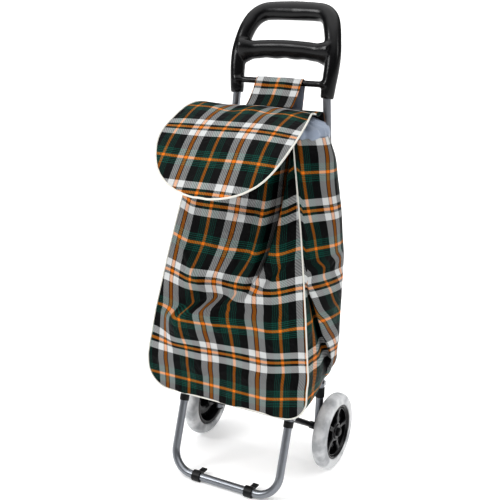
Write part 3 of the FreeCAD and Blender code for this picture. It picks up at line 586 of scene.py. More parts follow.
PLAIN_NODES = (  # the CAD parts that show as they are, by finish
    (TUBE_PAINT, ["upright_left", "upright_right", "foot_frame"]),
    # the braces' near-black finish is painted shade
    (BRACE_PAINTED_SHADE, ["brace_left", "brace_right"]),
    (STEEL, ["axle", "arm_bolts", "leg_bolts", "handle_screws"]),
    (CLIP_BLACK, ["upright_plug_left", "upright_plug_right", "leg_band_left", "leg_band_right"]),
    (CLIP_BLACK, ["foot_glide_left", "foot_glide_right", "axle_cap_left", "axle_cap_right"]),
    (CLIP_BLACK, ["axle_spacer_left", "axle_spacer_right"]),
    (LINING, ["tie_loop_left", "tie_loop_right"]),
    (BOARD, ["bag_board"]),
)
for finish, nodes in PLAIN_NODES:
    for node in nodes:
        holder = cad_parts[node]
        holder.data.materials.clear()
        holder.data.materials.append(finish)


# ---------------------------------------------------------------- bag front

BAG_TOP, CORNER_Z, BAG_FOOT, CORNER_R = 702.0, 236.0, 186.0, 50.0
FRONT_HALF = (  # heights, and half the front panel's width there
    [236, 270, 300, 330, 360, 390, 420, 450, 480, 510, 540, 570, 600, 632, 660, 702],
    [178, 178, 174, 170, 165.6, 160.7, 155.7, 150.6]
    + [145.2, 139.7, 133.9, 127.9, 121.6, 114.6, 108.6, 100.5],
)
FRONT_Y = (  # heights, and the depth of the front panel's piped edge there
    [186, 250, 270, 300, 330, 360, 390, 420, 450, 480, 510, 540, 570, 600, 655, 702],
    [-182, -182, -177, -172, -168, -163, -157, -151.6]
    + [-145.8, -139.8, -133.9, -127.9, -122.3, -116.7, -106, -98],
)


def front_half(z):
    """Half the front panel's width: straight up to the corner, then tapering."""
    drop = np.clip(CORNER_Z - z, 0, CORNER_R)
    return smooth(z, *FRONT_HALF) - CORNER_R + np.sqrt(np.maximum(CORNER_R**2 - drop**2, 0))


def front_y(z):
    """Depth of the front panel's piped edge."""
    return smooth(z, *FRONT_Y)


BELLY = (  # places across, and how far the belly stands out there
    [-178, -140, -100, -60, -20, 30, 80, 130, 178],
    [4, 15, 33, 37, 29, 19, 11, 8, 4],
)
BELLY_SINK = ([-10, 14, 50, 80, 150], [1, 1, 0.72, 0.34, 0])  # below the crease, and its share


def front_stand(x, z):
    """How far the front panel stands out of the plane of its edges: a full belly low down, cut off
    above by a slanting crease, and a deep tuck to its right."""
    half = front_half(z)
    taper = np.clip(1 - (np.abs(x) / half) ** 6, 0, 1)
    crease = 362 + 0.37 * np.maximum(x + 100, -20) + 0.006 * np.maximum(x - 30, 0) ** 2
    below = crease - z
    rise = step(below, -7, 11)
    belly = smooth(x, *BELLY) * rise * smooth(below, *BELLY_SINK)
    above = 9 * step(-below, 6, 60) * bump(x, -20, 120)
    ridge = 6 * bump(z, 425, 30) * (bump(x, -88, 22) - bump(x, -38, 22) + 0.7 * bump(x, 12, 26))
    pull = 3.4 * bump(z - 0.9 * x, 505, 9) * step(x, -70, 10) * step(-x, -70, -30)
    pull += 3.0 * bump(z + 1.3 * x, 330, 10) * step(-x, -20, 30) * step(x, -150, -110)
    small = 1.6 * np.sin(z / 23 + x / 40) * np.sin(x / 31 + 1.3)
    small += 1.1 * np.sin(x / 17 - z / 29 + 0.8)
    return taper * (belly + above + ridge + pull + small)


TUCK_LINE = ([410, 430, 450, 465, 492, 540, 600, 655], [33, 41, 51, 57, 64, 71, 77, 82])
TUCK_DEPTH = ([412, 440, 465, 492, 565, 655], [0, 12, 26, 40, 52, 58])
TUCK_WIDTH = ([412, 480, 560, 655], [4.4, 5.2, 7.5, 9.0])


def tuck(x, z):
    """The deep fold that swallows cloth to the right of the belly."""
    line, deep, wide = (smooth(z, *table) for table in (TUCK_LINE, TUCK_DEPTH, TUCK_WIDTH))
    lip = 9 * step(z, 425, 480)
    return (
        -deep * bump(x, line, wide)
        + lip * bump(x, line - 13, 11)
        - 0.4 * lip * bump(x, line + 16, 16)
    )


FRONT_LEFT = ([236, 287, 352, 422, 492, 655], [-178, -174, -166, -154, -150, -150])
FRONT_RIGHT = ([236, 352, 422, 492, 565, 655], [178, 178, 177, 172, 165, 158])
FRONT_WEFT = (  # heights, and the weft's place on the flat cloth there
    [186, 217.5, 288.75, 350, 422.5, 492.5, 567, 655, 702],
    [185.5, 217, 286, 355, 424, 493, 562, 647, 694],
)
BAG_CLOTH = 1.2


def bag_front():
    """The front panel, row by row from its mouth to its foot. FRONT_LEFT and FRONT_RIGHT say which
    place on the flat cloth comes to each edge."""
    corner = CORNER_Z - CORNER_R * np.sin(np.linspace(0.04, 1.54, 20))
    heights = np.concatenate([np.linspace(BAG_TOP, CORNER_Z, 150), corner])
    columns = 220
    points, cloth = [], []
    for z in heights:
        half = float(front_half(z))
        x = np.linspace(-half, half, 1400)
        y = front_y(z) - front_stand(x, z) - tuck(x, z)
        plan = even(np.stack([x, y], axis=1), columns)
        run = lengths(plan) / lengths(plan)[-1]
        left, right = smooth(z, *FRONT_LEFT), smooth(z, *FRONT_RIGHT)
        if z < CORNER_Z:
            left, right = -half, half
        u = left + (right - left) * run
        v = smooth(z, *FRONT_WEFT) - 20 * step(plan[:, 0], 80, half + 12)
        v -= 9 * step(-plan[:, 0], 95, half + 5) * step(z, 280, 330)
        points.append(np.column_stack([plan, np.full(columns, z)]))
        cloth.append(np.column_stack([u, v]))
    piece = surface("front_panel_cloth", points, [TARTAN, LINING], cloth, flip=True)
    thicken(piece, BAG_CLOTH)
    return apply_all(piece)


# ---------------------------------------------------------------- bag sides

SIDE_ROWS = {
    # height: the points that the side's cloth goes through, from its piped corner to the rear
    702: [(114, -80), (135, -54), (137, -18), (122, 8), (108, 28)],
    660: [(127, -88), (152, -54), (153, -20), (133, 8), (113, 28)],
    620: [(135, -86), (157, -50), (157, -16), (135, 14), (117, 27)],
    590: [(142, -88), (162, -50), (161, -14), (138, 12), (123, 24)],
    519: [(150, -98), (171, -50), (168, -14), (147, 8), (136, 18)],
    470: [(157, -114), (166, -92), (176, -48), (172, -14), (152, 6), (142, 14)],
    446: [(157, -125), (166, -104), (177, -60), (177, -26), (158, 2), (146, 12)],
    428: [(154.5, -142), (152, -136), (148, -127), (150, -124), (155, -130)]
    + [(175, -78), (178, -30), (160, 0), (148, 11)],
    409: [(158, -142), (156, -132), (148, -116), (152, -110), (158, -123)]
    + [(171, -96), (179, -62), (179, -34), (162, -2), (151, 10)],
    371: [(165, -146), (164, -132), (154, -104), (159, -98), (168, -117)]
    + [(176, -94), (180, -62), (180, -40), (164, -8), (154, 7)],
    340: [(170, -150), (170, -130), (158, -94), (163, -88), (174, -109)]
    + [(179, -86), (181, -58), (179, -40), (165, -9), (156, 5)],
    311: [(174, -152), (174, -128), (160, -82), (165, -76), (177, -92)]
    + [(180, -72), (180, -50), (174, -28), (166, -10), (158, 3)],
    285: [(176, -152), (177, -124), (165, -76), (168, -68), (178, -78)]
    + [(179, -62), (177, -44), (171, -24), (163, -8), (159, 2)],
    262: [(178, -152), (177, -120), (170, -84), (170, -72), (176, -70)]
    + [(176, -56), (174, -42), (169, -24), (163, -8), (160, 0)],
    236: [(177, -150), (174, -118), (171, -92), (170, -76), (170, -62)]
    + [(168, -40), (166, -24), (162, -12), (158, -4)],
}
LIP_POINTS = {  # height: where the fold's lip is, and its place on the flat cloth
    428: (155, -130, 61),
    409: (158, -123, 58),
    371: (168, -117, 52),
    340: (174, -109, 38),
    311: (177, -92, 32),
    285: (178, -78, 30),
    262: (176, -70, 32),
    236: (170, -76, 36),
}
SEAM = ([236, 428, 442, 448, 519, 590, 655, 702], [-22, -20, 10, 60, 71, 85, 91, 94])
SIDE_SHIFT = 22.25  # the side panel's cut against the tartan's repeat
TURN_LIFT = 46.0  # how much higher the cloth turns under at the rear than at the front corner
SLACK = 0.55  # how much less the left side bulges
STRIP = 26.0  # the flat strip beside the seam, before the fold
SEAM_POINT = 72  # the point of a plain row that is followed where there is no fold
LIP_COLUMNS, SIDE_COLUMNS = 70, 180  # points from the seam to the fold's lip, and in all


def side_plan(height):
    """The right side's plan at one height, from the piped corner to the rear corner, with the
    fold's lip always at the same point, and the lip's place on the flat cloth."""
    corner = (float(front_half(height)), float(front_y(height)))
    fine = spline([corner] + SIDE_ROWS[height], 1200)
    if height in LIP_POINTS:
        x, y, place = LIP_POINTS[height]
        lip = int(np.argmin(np.hypot(fine[:, 0] - x, fine[:, 1] - y)))
    else:
        lip = SEAM_POINT
        place = float(smooth(height, *SEAM)) + lengths(fine)[lip]
    near = even(fine[: lip + 1], LIP_COLUMNS)
    far = even(fine[lip:], SIDE_COLUMNS - LIP_COLUMNS + 1)
    return np.vstack([near, far[1:]]), place


def bag_side(side, sign):
    """One side: fabric bulging from the seam, a fold that opens low down, and a rounded foot."""
    upright_rows, turn_rows = 150, 24
    levels = sorted(SIDE_ROWS)
    plans, lip_places = zip(*(side_plan(level) for level in levels))
    plans = np.array(plans)
    if sign < 0:  # the left side is slacker, so its middle stands less proud
        for plan in plans:
            chord = np.interp(plan[:, 1], [plan[0, 1], plan[-1, 1]], [plan[0, 0], plan[-1, 0]])
            plan[:, 0] = chord + (plan[:, 0] - chord) * SLACK
    depth = (plans[0][:, 1] - plans[0][0, 1]) / (plans[0][-1, 1] - plans[0][0, 1])
    turn_z = CORNER_Z + TURN_LIFT * step(depth, 0.3, 0.92)
    down = np.linspace(0, 1, upright_rows)[:, None]
    height = BAG_TOP + (turn_z - BAG_TOP) * down
    x = np.column_stack([smooth(height[:, j], levels, plans[:, j, 0]) for j in range(SIDE_COLUMNS)])
    y = np.column_stack([smooth(height[:, j], levels, plans[:, j, 1]) for j in range(SIDE_COLUMNS)])
    x[:, 0], y[:, 0] = front_half(height[:, 0]), front_y(height[:, 0])
    free = np.clip(np.sin(math.pi * depth), 0, 1) ** 0.5
    crumple = (0.3 + 1.2 * step(height, 420, 480)) * free
    crumple *= np.sin(height / 19 + 5 * depth) * np.sin(depth * 9 + height / 47)
    low_folds = 2.4 * step(-height, -320, -250) * step(depth, 0.55, 0.75) * free
    low_folds *= np.sin(depth * 26 + height / 21)
    gather = 2.4 * step(height, 600, BAG_TOP) * np.sin(depth * 34 + 0.6) * step(depth, 0.05, 0.3)
    x += crumple + gather + low_folds
    place = []
    for row in range(upright_rows):
        run = lengths(np.column_stack([x[row], y[row]]))
        seam_z = float(height[row, 0])
        lip_place = float(smooth(seam_z, levels, lip_places))
        start, lip_run = float(smooth(seam_z, *SEAM)), run[LIP_COLUMNS - 1]
        knots, marks = [0, lip_run, run[-1]], [start, lip_place, lip_place + run[-1] - lip_run]
        if start < 0:
            knots.insert(1, min(STRIP, 0.6 * lip_run))
            marks.insert(1, 0)
        place.append(SIDE_SHIFT + np.interp(run, knots, marks))
    rise = height - 20 + 12 * step(depth, 0.05, 1.0)
    points = list(np.stack([x, y, height], axis=2))
    cloth = list(np.stack([place, rise], axis=2))
    last, last_cloth = points[-1], cloth[-1]
    radius = CORNER_R + 40 * step(depth, 0.0, 0.5)
    foot = BAG_FOOT + 26 * step(depth, 0.15, 0.8)
    for turn in np.linspace(0, math.pi / 2, turn_rows)[1:]:
        row = last.copy()
        row[:, 0] -= radius * (1 - math.cos(turn))
        row[:, 2] = turn_z - (turn_z - foot) * math.sin(turn)
        row[:, 2] += 3.0 * np.sin(depth * 21) * math.sin(turn) * step(depth, 0.3, 0.7)
        points.append(row)
        lower = last_cloth.copy()
        lower[:, 1] -= radius * turn
        cloth.append(lower)
    points, cloth = np.array(points), np.array(cloth)
    if sign < 0:
        points[:, :, 0] *= -1
        points, cloth = points[:, ::-1], cloth[:, ::-1]
    piece = surface(f"side_panel_cloth_{side}", points, [TARTAN, LINING], cloth, flip=True)
    thicken(piece, BAG_CLOTH)
    return apply_all(piece)


BACK_FOOT, BACK_ROUND, BACK_CORNER = 208.0, 284.0, 46.0  # its lower corners are rounded
BACK_SHIFT = 22.0  # the back panel's cut against the tartan's repeat
BACK_LEVELS = [208, 236, 311, 371, 440, 519, 590, 660, 702, 735]
BACK_HALF = (BACK_LEVELS, [158, 160, 158, 154, 146, 136, 123, 113, 108, 104])
BACK_PLANE = (BACK_LEVELS, [-3, -2, 3, 7, 12, 18, 24, 28, 29, 27])


def bag_back():
    """The back panel: flat against the uprights, up to the hem that the flap hinges on."""
    heights = np.linspace(HINGE_Z - 1, BACK_FOOT, 110)
    columns = 100
    points, cloth = [], []
    for z in heights:
        drop = min(max((BACK_ROUND - z) / (BACK_ROUND - BACK_FOOT + 4), 0), 1)
        half = BACK_CORNER * (math.sqrt(1 - drop**2) - 1) + float(smooth(z, *BACK_HALF))
        x = np.linspace(-half, half, columns)
        sag = 5 * np.cos(x / half * math.pi / 2)
        sag += 1.4 * np.sin(z / 33 + x / 37) + 1.2 * np.sin(x / 15 + z / 60)
        y = float(smooth(z, *BACK_PLANE)) + sag * (1 - (np.abs(x) / half) ** 8)
        points.append(np.column_stack([x, y, np.full(columns, z)]))
        cloth.append(np.column_stack([x + BACK_SHIFT, np.full(columns, z)]))
    piece = surface("back_panel_cloth", points, [TARTAN, LINING], cloth)
    thicken(piece, BAG_CLOTH)
    return apply_all(piece)


def bag_floor():
    """The floor between the panels' turned-under edges, with its rear corners lifted."""
    half, columns, rows = 132, 60, 60
    points, cloth = [], []
    for y in np.linspace(-181, -2, rows):
        x = np.linspace(-half, half, columns)
        lift = 22 * step(y, -160, -60) * step(np.abs(x), 106, 131)
        points.append(np.column_stack([x, np.full(columns, y), BAG_FOOT + 0.6 + lift]))
        cloth.append(np.column_stack([x, np.full(columns, y)]))
    piece = surface("floor_panel_cloth", points, [TARTAN, LINING], cloth, flip=True)
    thicken(piece, BAG_CLOTH)
    return apply_all(piece)


# ---------------------------------------------------------------- flap

FLAP_NOSE = (-259.0, 617.0)
NOSE_SLOPE, NOSE_RUN, CROWN_R, CROWN_TURN = math.radians(48.8), 97.0, 177.0, math.radians(59.4)
FLAP_LENGTH = NOSE_RUN + CROWN_R * CROWN_TURN + 56.0
FLAP_HALF = (  # distances up the flap, and half its width there
    [0, 1, 3, 8, 14, 20, 28, 36, 48, 61, 73, 86]
    + [98, 111, 124, 136, 161, 186, 211, 236, 270, 300, 336],
    [12, 22, 33, 52, 66, 78, 89, 99, 110, 118, 124, 129]
    + [133, 135.7, 137.4, 138.5, 138, 134.6, 130, 122.5, 110.5, 107, 103],
)
FLAP_CLOTH = 2.0
FLAP_MIDDLE, FLAP_STRETCH = 7.5, 1.045  # how the flap's cut sits on the tartan, side to side
FLAP_WEFT = 139.0  # the weft's place at the flap's front edge
CUT_SHIFT = 22.0  # the flap's and the strap's cut against the tartan's repeat
ON_EDGE = 0.01  # lifts the piping's line just off the cloth


def flap_profile(s):
    """Depth, height and slope at a distance up the flap from its front edge."""
    if s < NOSE_RUN:
        return (
            FLAP_NOSE[0] + s * math.cos(NOSE_SLOPE),
            FLAP_NOSE[1] + s * math.sin(NOSE_SLOPE),
            NOSE_SLOPE,
        )
    forward, upward = math.cos(NOSE_SLOPE), math.sin(NOSE_SLOPE)
    top = (FLAP_NOSE[0] + NOSE_RUN * forward, FLAP_NOSE[1] + NOSE_RUN * upward)
    middle = (top[0] + CROWN_R * upward, top[1] - CROWN_R * forward)
    turn = min((s - NOSE_RUN) / CROWN_R, CROWN_TURN)
    slope = NOSE_SLOPE - turn
    y, z = middle[0] - CROWN_R * math.sin(slope), middle[1] + CROWN_R * math.cos(slope)
    rest = s - NOSE_RUN - CROWN_R * turn
    return y + rest * math.cos(slope), z + rest * math.sin(slope), slope


def flap_half(s):
    """Half the flap's width at a distance up it."""
    return float(np.interp(s, *FLAP_HALF))


def flap_point(x, s, lift=0.0):
    """A point on the flap: its edges droop, and soft creases cross its crown."""
    y, z, slope = flap_profile(s)
    half = flap_half(s)
    edge = min(abs(x) / half, 1.0) ** 3
    droop = edge * (1.5 + 5.0 * float(step(s, 90, 190)) + 3.5 * float(step(s, 284, 316)))
    crease = 2.4 * float(bump(s, 222, 16)) * math.sin(x / 13 + 0.9) * (1 - edge)
    crease += 1.5 * float(step(s, 120, 200)) * math.sin(x / 29 + s / 33)
    crease += 1.0 * math.sin(x / 41 + s / 27 + 2)
    crease += 8.0 * float(bump(s, 245, 48) * step(-x, 45, 118))
    stand = lift - droop + crease
    stand *= float(step(FLAP_LENGTH - s, 0, 30)) if lift == 0 else 1.0
    return (x, y - stand * math.sin(slope), z + stand * math.cos(slope))


def flap_cloth():
    """The flap, row by row from its front edge, with closer rows where its outline is round."""
    round_end = FLAP_LENGTH * 0.16
    front_rows = round_end * (1 - np.cos(np.linspace(0, math.pi / 2, 26)))
    rows = np.concatenate([front_rows, np.linspace(round_end, FLAP_LENGTH, 96)[1:]])
    columns = 130
    points, cloth = [], []
    for s in rows:
        half = flap_half(s)
        xs = np.linspace(-half, half, columns)
        points.append([flap_point(x, s) for x in xs])
        wave = 3 * np.sin(s / 60 + 0.4)
        u = CUT_SHIFT + (xs + FLAP_MIDDLE + wave) * FLAP_STRETCH
        cloth.append(np.column_stack([u, FLAP_WEFT + s - 1.5 * np.sin(xs / 40)]))
    piece = surface("flap_cloth", points, [TARTAN, LINING], cloth)
    thicken(piece, FLAP_CLOTH, rim=1)
    return apply_all(piece)


FLAP_PIPING, FRONT_PIPING = 1.9, 1.55  # the pipings' radii
PIPING_END = 292.0  # the piping stops here, and the last of the flap's edge is a plain black hem
PIPING_ROUND = 60.0  # below this the points come closer, for the round front


def flap_outline():
    """The flap's piped edge from its rear left corner round the front to its rear right one."""
    front = PIPING_ROUND * (1 - np.sin(np.linspace(0, math.pi / 2, 40)[1:]))
    spots = np.concatenate([np.linspace(PIPING_END, PIPING_ROUND, 60), front])
    left = [flap_point(-flap_half(s), s, lift=ON_EDGE) for s in spots]
    right = [flap_point(flap_half(s), s, lift=ON_EDGE) for s in spots[::-1]]
    middle = [flap_point(x, 0.0, lift=ON_EDGE) for x in np.linspace(-8, 8, 5)]
    return even(np.array(left + middle + right), 260)


# ---------------------------------------------------------------- collar, strap and piping


COLLAR_FOOT, COLLAR_RISE, COLLAR_CLOTH = 694.0, 37.0, 0.8


def collar_cloth():
    """Satin collar, sewn round the bag's mouth and gathered inwards at its top."""
    columns, rows = 400, 26
    right = [(60, -100), (100, -98)] + SIDE_ROWS[702] + [(60, 29)]
    corners = [(0, -101)] + right + [(0, 30)] + [(-0.94 * x, y) for x, y in right[::-1]]
    loop = spline(np.array(corners + [corners[0]], float), columns + 1)[:-1]
    centre = np.array([0.0, -30.0])
    phases = np.random.default_rng(7).uniform(0, 2 * math.pi, 4)
    around = np.linspace(0, 2 * math.pi, columns, endpoint=False)
    folds = (
        np.sin(27 * around + phases[0])
        + 0.6 * np.sin(43 * around + phases[1] + 1.5 * np.sin(3 * around))
        + 0.5 * np.sin(16 * around + phases[2])
    )
    points = []
    for t in np.linspace(0, 1, rows):
        away = (loop - centre) * (1 - 0.10 * t - 0.5 * max(t - 0.6, 0))
        size = np.linalg.norm(away, axis=1)[:, None]
        puff = 5 * math.sin(math.pi * min(t * 1.2, 1)) - 1.5
        away = away * (1 + (puff + (0.6 + 2.6 * t) * folds[:, None]) / size)
        height = COLLAR_FOOT + COLLAR_RISE * t + (0.8 + 1.2 * t) * np.cos(27 * around + phases[3])
        points.append(np.column_stack([centre + away, height]))
    piece = surface("collar_satin", points, [COLLAR, REVERSE], ring=True)
    thicken(piece, COLLAR_CLOTH, offset=0.0)
    return apply_all(piece)


STRAP_PATH = (  # (depth, height) from the back hem, over the crossbar, and down onto the flap
    [(37, 700), (45, 735), (51.5, 768), (54, 783), (50.5, 791.5), (44, 794)]
    + [(37, 789), (27, 774), (16, 761), (5, 750), (-4, 744.5)]
)
STRAP_HALF, STRAP_CLOTH = 50.0, 1.6
STRAP_SHIFT, STRAP_WEFT = 1.0, 308.0  # how the strap's cut sits on the tartan


def strap_cloth():
    """The strap from the back hem, over the handle's crossbar and forward onto the flap."""
    count, columns = 90, 44
    line = spline(STRAP_PATH, count)
    run = lengths(line)
    over = run[np.argmax(line[:, 1])]
    x = np.linspace(-STRAP_HALF, STRAP_HALF, columns)
    points, cloth = [], []
    for (y, z), at in zip(line, run):
        cup = 1.6 * np.cos(x / STRAP_HALF * math.pi / 2) + 0.8 * np.sin(x / 9 + at / 18)
        rise = 0.6 * cup if at > over else 0 * cup
        points.append(np.column_stack([x, y - 0.5 * cup, z + rise]))
        weft = np.full(columns, STRAP_WEFT - (at - over))
        cloth.append(np.column_stack([CUT_SHIFT + x + STRAP_SHIFT, weft]))
    piece = surface("hanging_strap_cloth", points, [TARTAN, REVERSE], cloth, flip=True)
    thicken(piece, STRAP_CLOTH)
    return apply_all(piece)


FOOT_HALF = FRONT_HALF[1][0] - CORNER_R  # half the straight part of the foot seam


def front_edge_line():
    """The seam round the front panel: down the left, along the foot and up the right."""
    heights = np.linspace(BAG_TOP - 2, CORNER_Z, 60)
    left = [(-float(front_half(z)), float(front_y(z)), z) for z in heights]
    corner = [
        (-FOOT_HALF - CORNER_R * math.cos(t), FRONT_Y[1][0], CORNER_Z - CORNER_R * math.sin(t))
        for t in np.linspace(0, math.pi / 2, 16)[1:]
    ]
    half = left + corner
    other = [(-x, y, z) for x, y, z in half][::-1]
    return even(np.array(half + other), 420)


# ---------------------------------------------------------------- handle


ARM_PATH = (  # (across, depth, height) from a sleeve's foot up to the middle of the crown bar
    [(99.8, 47.9, 758.6), (101.6, 52, 785), (103.6, 58.5, 815), (103, 65, 840), (98.5, 73, 864)]
    + [(92, 83, 887), (82, 95, 905), (66, 103.5, 915), (44, 106, 917.6), (20, 106.4, 918.3)]
    + [(0, 106.4, 918.5)]
)
ARM_SHARES = [0, 0.03, 0.2, 0.45, 0.7, 0.85, 1]  # shares of the way along that path
ARM_WIDE = [12.8, 13.6, 15.0, 16.2, 16.6, 15.6, 14.6]  # the section's half sizes there
ARM_TALL = [12.8, 13.6, 15.0, 16.4, 18.0, 18.6, 19.2]
ARM_LEAN, GRIP_LEAN = -0.35, 0.25
GRIP_HALF, GRIP_Y, GRIP_TOP, GRIP_FOOT = 98.0, 66.0, 865.5, 828.0
BAR_HALF, BAR_Y, BAR_Z, BAR_RADIUS = 101.0, 46.5, 785.5, 6.3


def oval_loft(name, centres, across, along, lean, finish):
    """An oval bar through the centres. across and along are the half sizes of each section."""
    centres = np.asarray(centres, float)
    ahead = np.gradient(centres, axis=0)
    ahead /= np.linalg.norm(ahead, axis=1)[:, None]
    turn = np.linspace(0, 2 * math.pi, 28, endpoint=False)[:, None]
    rows = []
    for point, way, a, b in zip(centres, ahead, across, along):
        flat = np.array([0, math.cos(lean), math.sin(lean)])
        flat = flat - way * way.dot(flat)
        flat /= np.linalg.norm(flat)
        up = np.cross(way, flat)
        rows.append(point + a * np.cos(turn) * flat + b * np.sin(turn) * up)
    return mended(surface(name, rows, [finish], ring=True), close_ends)


def handle_moulding():
    """One blow-moulded handle: sleeves, swept sides, crown bar, waved grip and thin crossbar."""
    arm = spline(ARM_PATH, 60)
    share = lengths(arm) / lengths(arm)[-1]
    wide, tall = np.interp(share, ARM_SHARES, ARM_WIDE), np.interp(share, ARM_SHARES, ARM_TALL)
    pieces = []
    for sign in (-1, 1):
        path = arm * np.array([sign, 1, 1])
        pieces.append(oval_loft("arm", path, wide, tall, ARM_LEAN, HANDLE_BLACK))
    x = np.linspace(-GRIP_HALF, GRIP_HALF, 90)
    bend = (np.abs(x) / GRIP_HALF) ** 2
    top = GRIP_TOP - 7 * bend
    waves = 2.4 * np.cos(x / GRIP_HALF * math.pi * 4.5) * (1 - bend)
    foot = GRIP_FOOT - 5 * bend + 0.45 * waves
    centres = np.column_stack([x, GRIP_Y - 3 * bend, (top + foot) / 2])
    grip_tall = (top - foot) / 2 + 8 * step(np.abs(x), 66, 96)
    grip_wide = 12.5 + 3 * step(np.abs(x), 60, 95)
    pieces.append(oval_loft("grip", centres, grip_wide, grip_tall, GRIP_LEAN, HANDLE_BLACK))
    x = np.linspace(-BAR_HALF, BAR_HALF, 50)
    thick = BAR_RADIUS + 4 * step(np.abs(x), 84, 100)
    centres = np.column_stack([x, np.full(50, BAR_Y), np.full(50, BAR_Z)])
    pieces.append(oval_loft("crossbar", centres, thick, thick, 0.0, HANDLE_BLACK))
    bpy.context.view_layer.update()
    base = pieces[0]
    shape = bmesh.new()
    for piece in pieces:
        shape.from_mesh(piece.data)
    shape.to_mesh(base.data)
    shape.free()
    for piece in pieces[1:]:
        bpy.data.objects.remove(piece)
    base.name = "handle_moulding"
    modify(base, "REMESH", mode="VOXEL", voxel_size=1.9 * MM, use_smooth_shade=True)
    modify(base, "SMOOTH", factor=0.6, iterations=7)
    return apply_all(base)


# ---------------------------------------------------------------- wheels

# Each profile is a list of (outward, radius).
TREAD = (
    [(-14.3, 57.5), (-14.4, 66), (-13.6, 72), (-11.2, 76.4), (-7.4, 78.9), (-3, 79.8), (0, 80)]
    + [(3, 79.8), (7.4, 78.9), (11.2, 76.4), (13.6, 72), (14.4, 66), (14.3, 57.5)]
    + [(8, 56.6), (-8, 56.6)]
)
RIM = (
    [(-13, 49.5), (-13, 56.2), (-11.6, 57.3), (11.6, 57.3), (13.4, 56.6)]
    + [(13.6, 54.6), (12.4, 52.8), (9, 50.6), (4, 48.6), (-4, 48.6)]
)
BOSS = (
    [(-14, 5.4), (-14, 14), (-12.6, 15.4), (-4, 16.2)]
    + [(4, 16.4), (11, 15.2), (12.2, 13.6), (12.2, 5.4)]
)
WEB_IN, WEB_OUT = 14.5, 50.5  # radii that the spoked face spans
BACKING = [(0.4, WEB_IN), (2.0, WEB_IN), (2.6, 32), (2.0, WEB_OUT), (0.4, WEB_OUT)]
SPOKES, SPOKE_HALF, SPOKE_FLARE = 5, 5.2, 2.5
WEB_FACE, WEB_DISH, WEB_THICK = 10.5, 2.6, 7.5


def spoked_face(side, sign, middle):
    """The hub's outer face: a dished ring with a window between each two spokes."""
    turns, rings = 100, 12
    rows, faces = [], []
    radii = np.linspace(WEB_IN, WEB_OUT, rings)
    for i, radius in enumerate(radii):
        x = middle + sign * (WEB_FACE - WEB_DISH * math.sin(math.pi * i / (rings - 1)))
        for j in range(turns):
            turn = 2 * math.pi * j / turns
            rows.append((x, radius * math.cos(turn), WHEEL_Z + radius * math.sin(turn)))
    for i in range(rings - 1):
        radius = (radii[i] + radii[i + 1]) / 2
        for j in range(turns):
            turn = 2 * math.pi * (j + 0.5) / turns
            away = abs((turn * SPOKES / (2 * math.pi)) % 1 - 0.5) * 2  # 1 on a spoke's middle
            gap = (1 - away) * math.pi / SPOKES * radius
            half_spoke = SPOKE_HALF + SPOKE_FLARE * abs(2 * i / (rings - 2) - 1) ** 2
            if 2 <= i <= rings - 3 and gap > half_spoke:
                continue
            a, b = i * turns + j, i * turns + (j + 1) % turns
            faces.append((a, b, b + turns, a + turns))
    mesh = bpy.data.meshes.new(f"hub_web_{side}")
    mesh.from_pydata(metres(rows).tolist(), [], faces)
    web = mended(new_object(f"hub_web_{side}", mesh, [HUB_BLACK]), drop_loose)
    modify(web, "SOLIDIFY", thickness=WEB_THICK * MM, offset=-1.0)
    modify(web, "SUBSURF", levels=1, render_levels=1)
    return web


def wheel_pieces(side, sign):
    """A foam tyre on a moulded hub of four pieces, all on the wheel's own body."""
    body = f"wheel_{side}"
    low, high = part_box(f"tyre_{side}")
    middle = (low.x + high.x) / 2 / MM
    tyre = turned(f"foam_tyre_{side}", TREAD, FOAM, middle, sign)
    modify(tyre, "BEVEL", width=0.8 * MM, segments=2, limit_method="ANGLE")
    modify(tyre, "SUBSURF", levels=1, render_levels=1)
    settle(apply_all(tyre), body, "tyre_foam", f"tyre_{side}")
    ring = turned(f"hub_rim_{side}", RIM, HUB_BLACK, middle, sign)
    modify(ring, "BEVEL", width=0.6 * MM, segments=2, limit_method="ANGLE")
    boss = turned(f"hub_boss_{side}", BOSS, HUB_BLACK, middle, sign, sides=64)
    modify(boss, "BEVEL", width=0.7 * MM, segments=2, limit_method="ANGLE")
    backing = turned(f"hub_back_{side}", BACKING, HUB_BLACK, middle, sign, sides=64)
    for piece in (backing, ring, boss, spoked_face(side, sign, middle)):
        settle(apply_all(piece), body, "hub_plastic")
    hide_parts(f"hub_{side}")


# ---------------------------------------------------------------- build

front = settle(bag_front(), "frame", "tartan_cloth", "bag_front")
for side, sign in SIDES.items():
    panel = settle(bag_side(side, sign), "frame", "tartan_cloth", f"bag_side_{side}")
back = settle(bag_back(), "frame", "tartan_cloth", "bag_back")
floor_cloth = settle(bag_floor(), "frame", "tartan_cloth", "bag_floor")

flap = settle(flap_cloth(), "flap", "tartan_cloth", "bag_flap")
flap_trim = tube("flap_edge_piping", flap_outline(), FLAP_PIPING, CORD, sides=14)
settle(flap_trim, "flap", "piping", "flap_piping")
front_trim = tube("front_edge_piping", front_edge_line(), FRONT_PIPING, CORD, sides=14)
settle(front_trim, "frame", "piping", "front_piping")

collar = settle(collar_cloth(), "frame", "collar_cloth", "bag_collar")

strap = strap_cloth()
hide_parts("hanging_strap")
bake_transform(strap)

settle(handle_moulding(), "frame", "handle_plastic", "handle")
for side, sign in SIDES.items():
    wheel_pieces(side, sign)


# ---------------------------------------------------------------- stage, light and camera

PAPER = 60.0  # metres from the middle to an edge, so that no edge shows
HORIZON_GLOW, OVERHEAD_GLOW = 0.12, 1.75  # dim studio walls, and a softbox overhead
LENS, SENSOR = 64.73, 36.0
CAMERA_PLACE = (0.818918, -1.546490 + AXLE_Y * MM, 1.002413)
CAMERA_DOWN, CAMERA_TURN = 17.503, 29.14  # degrees below level, and round from the front

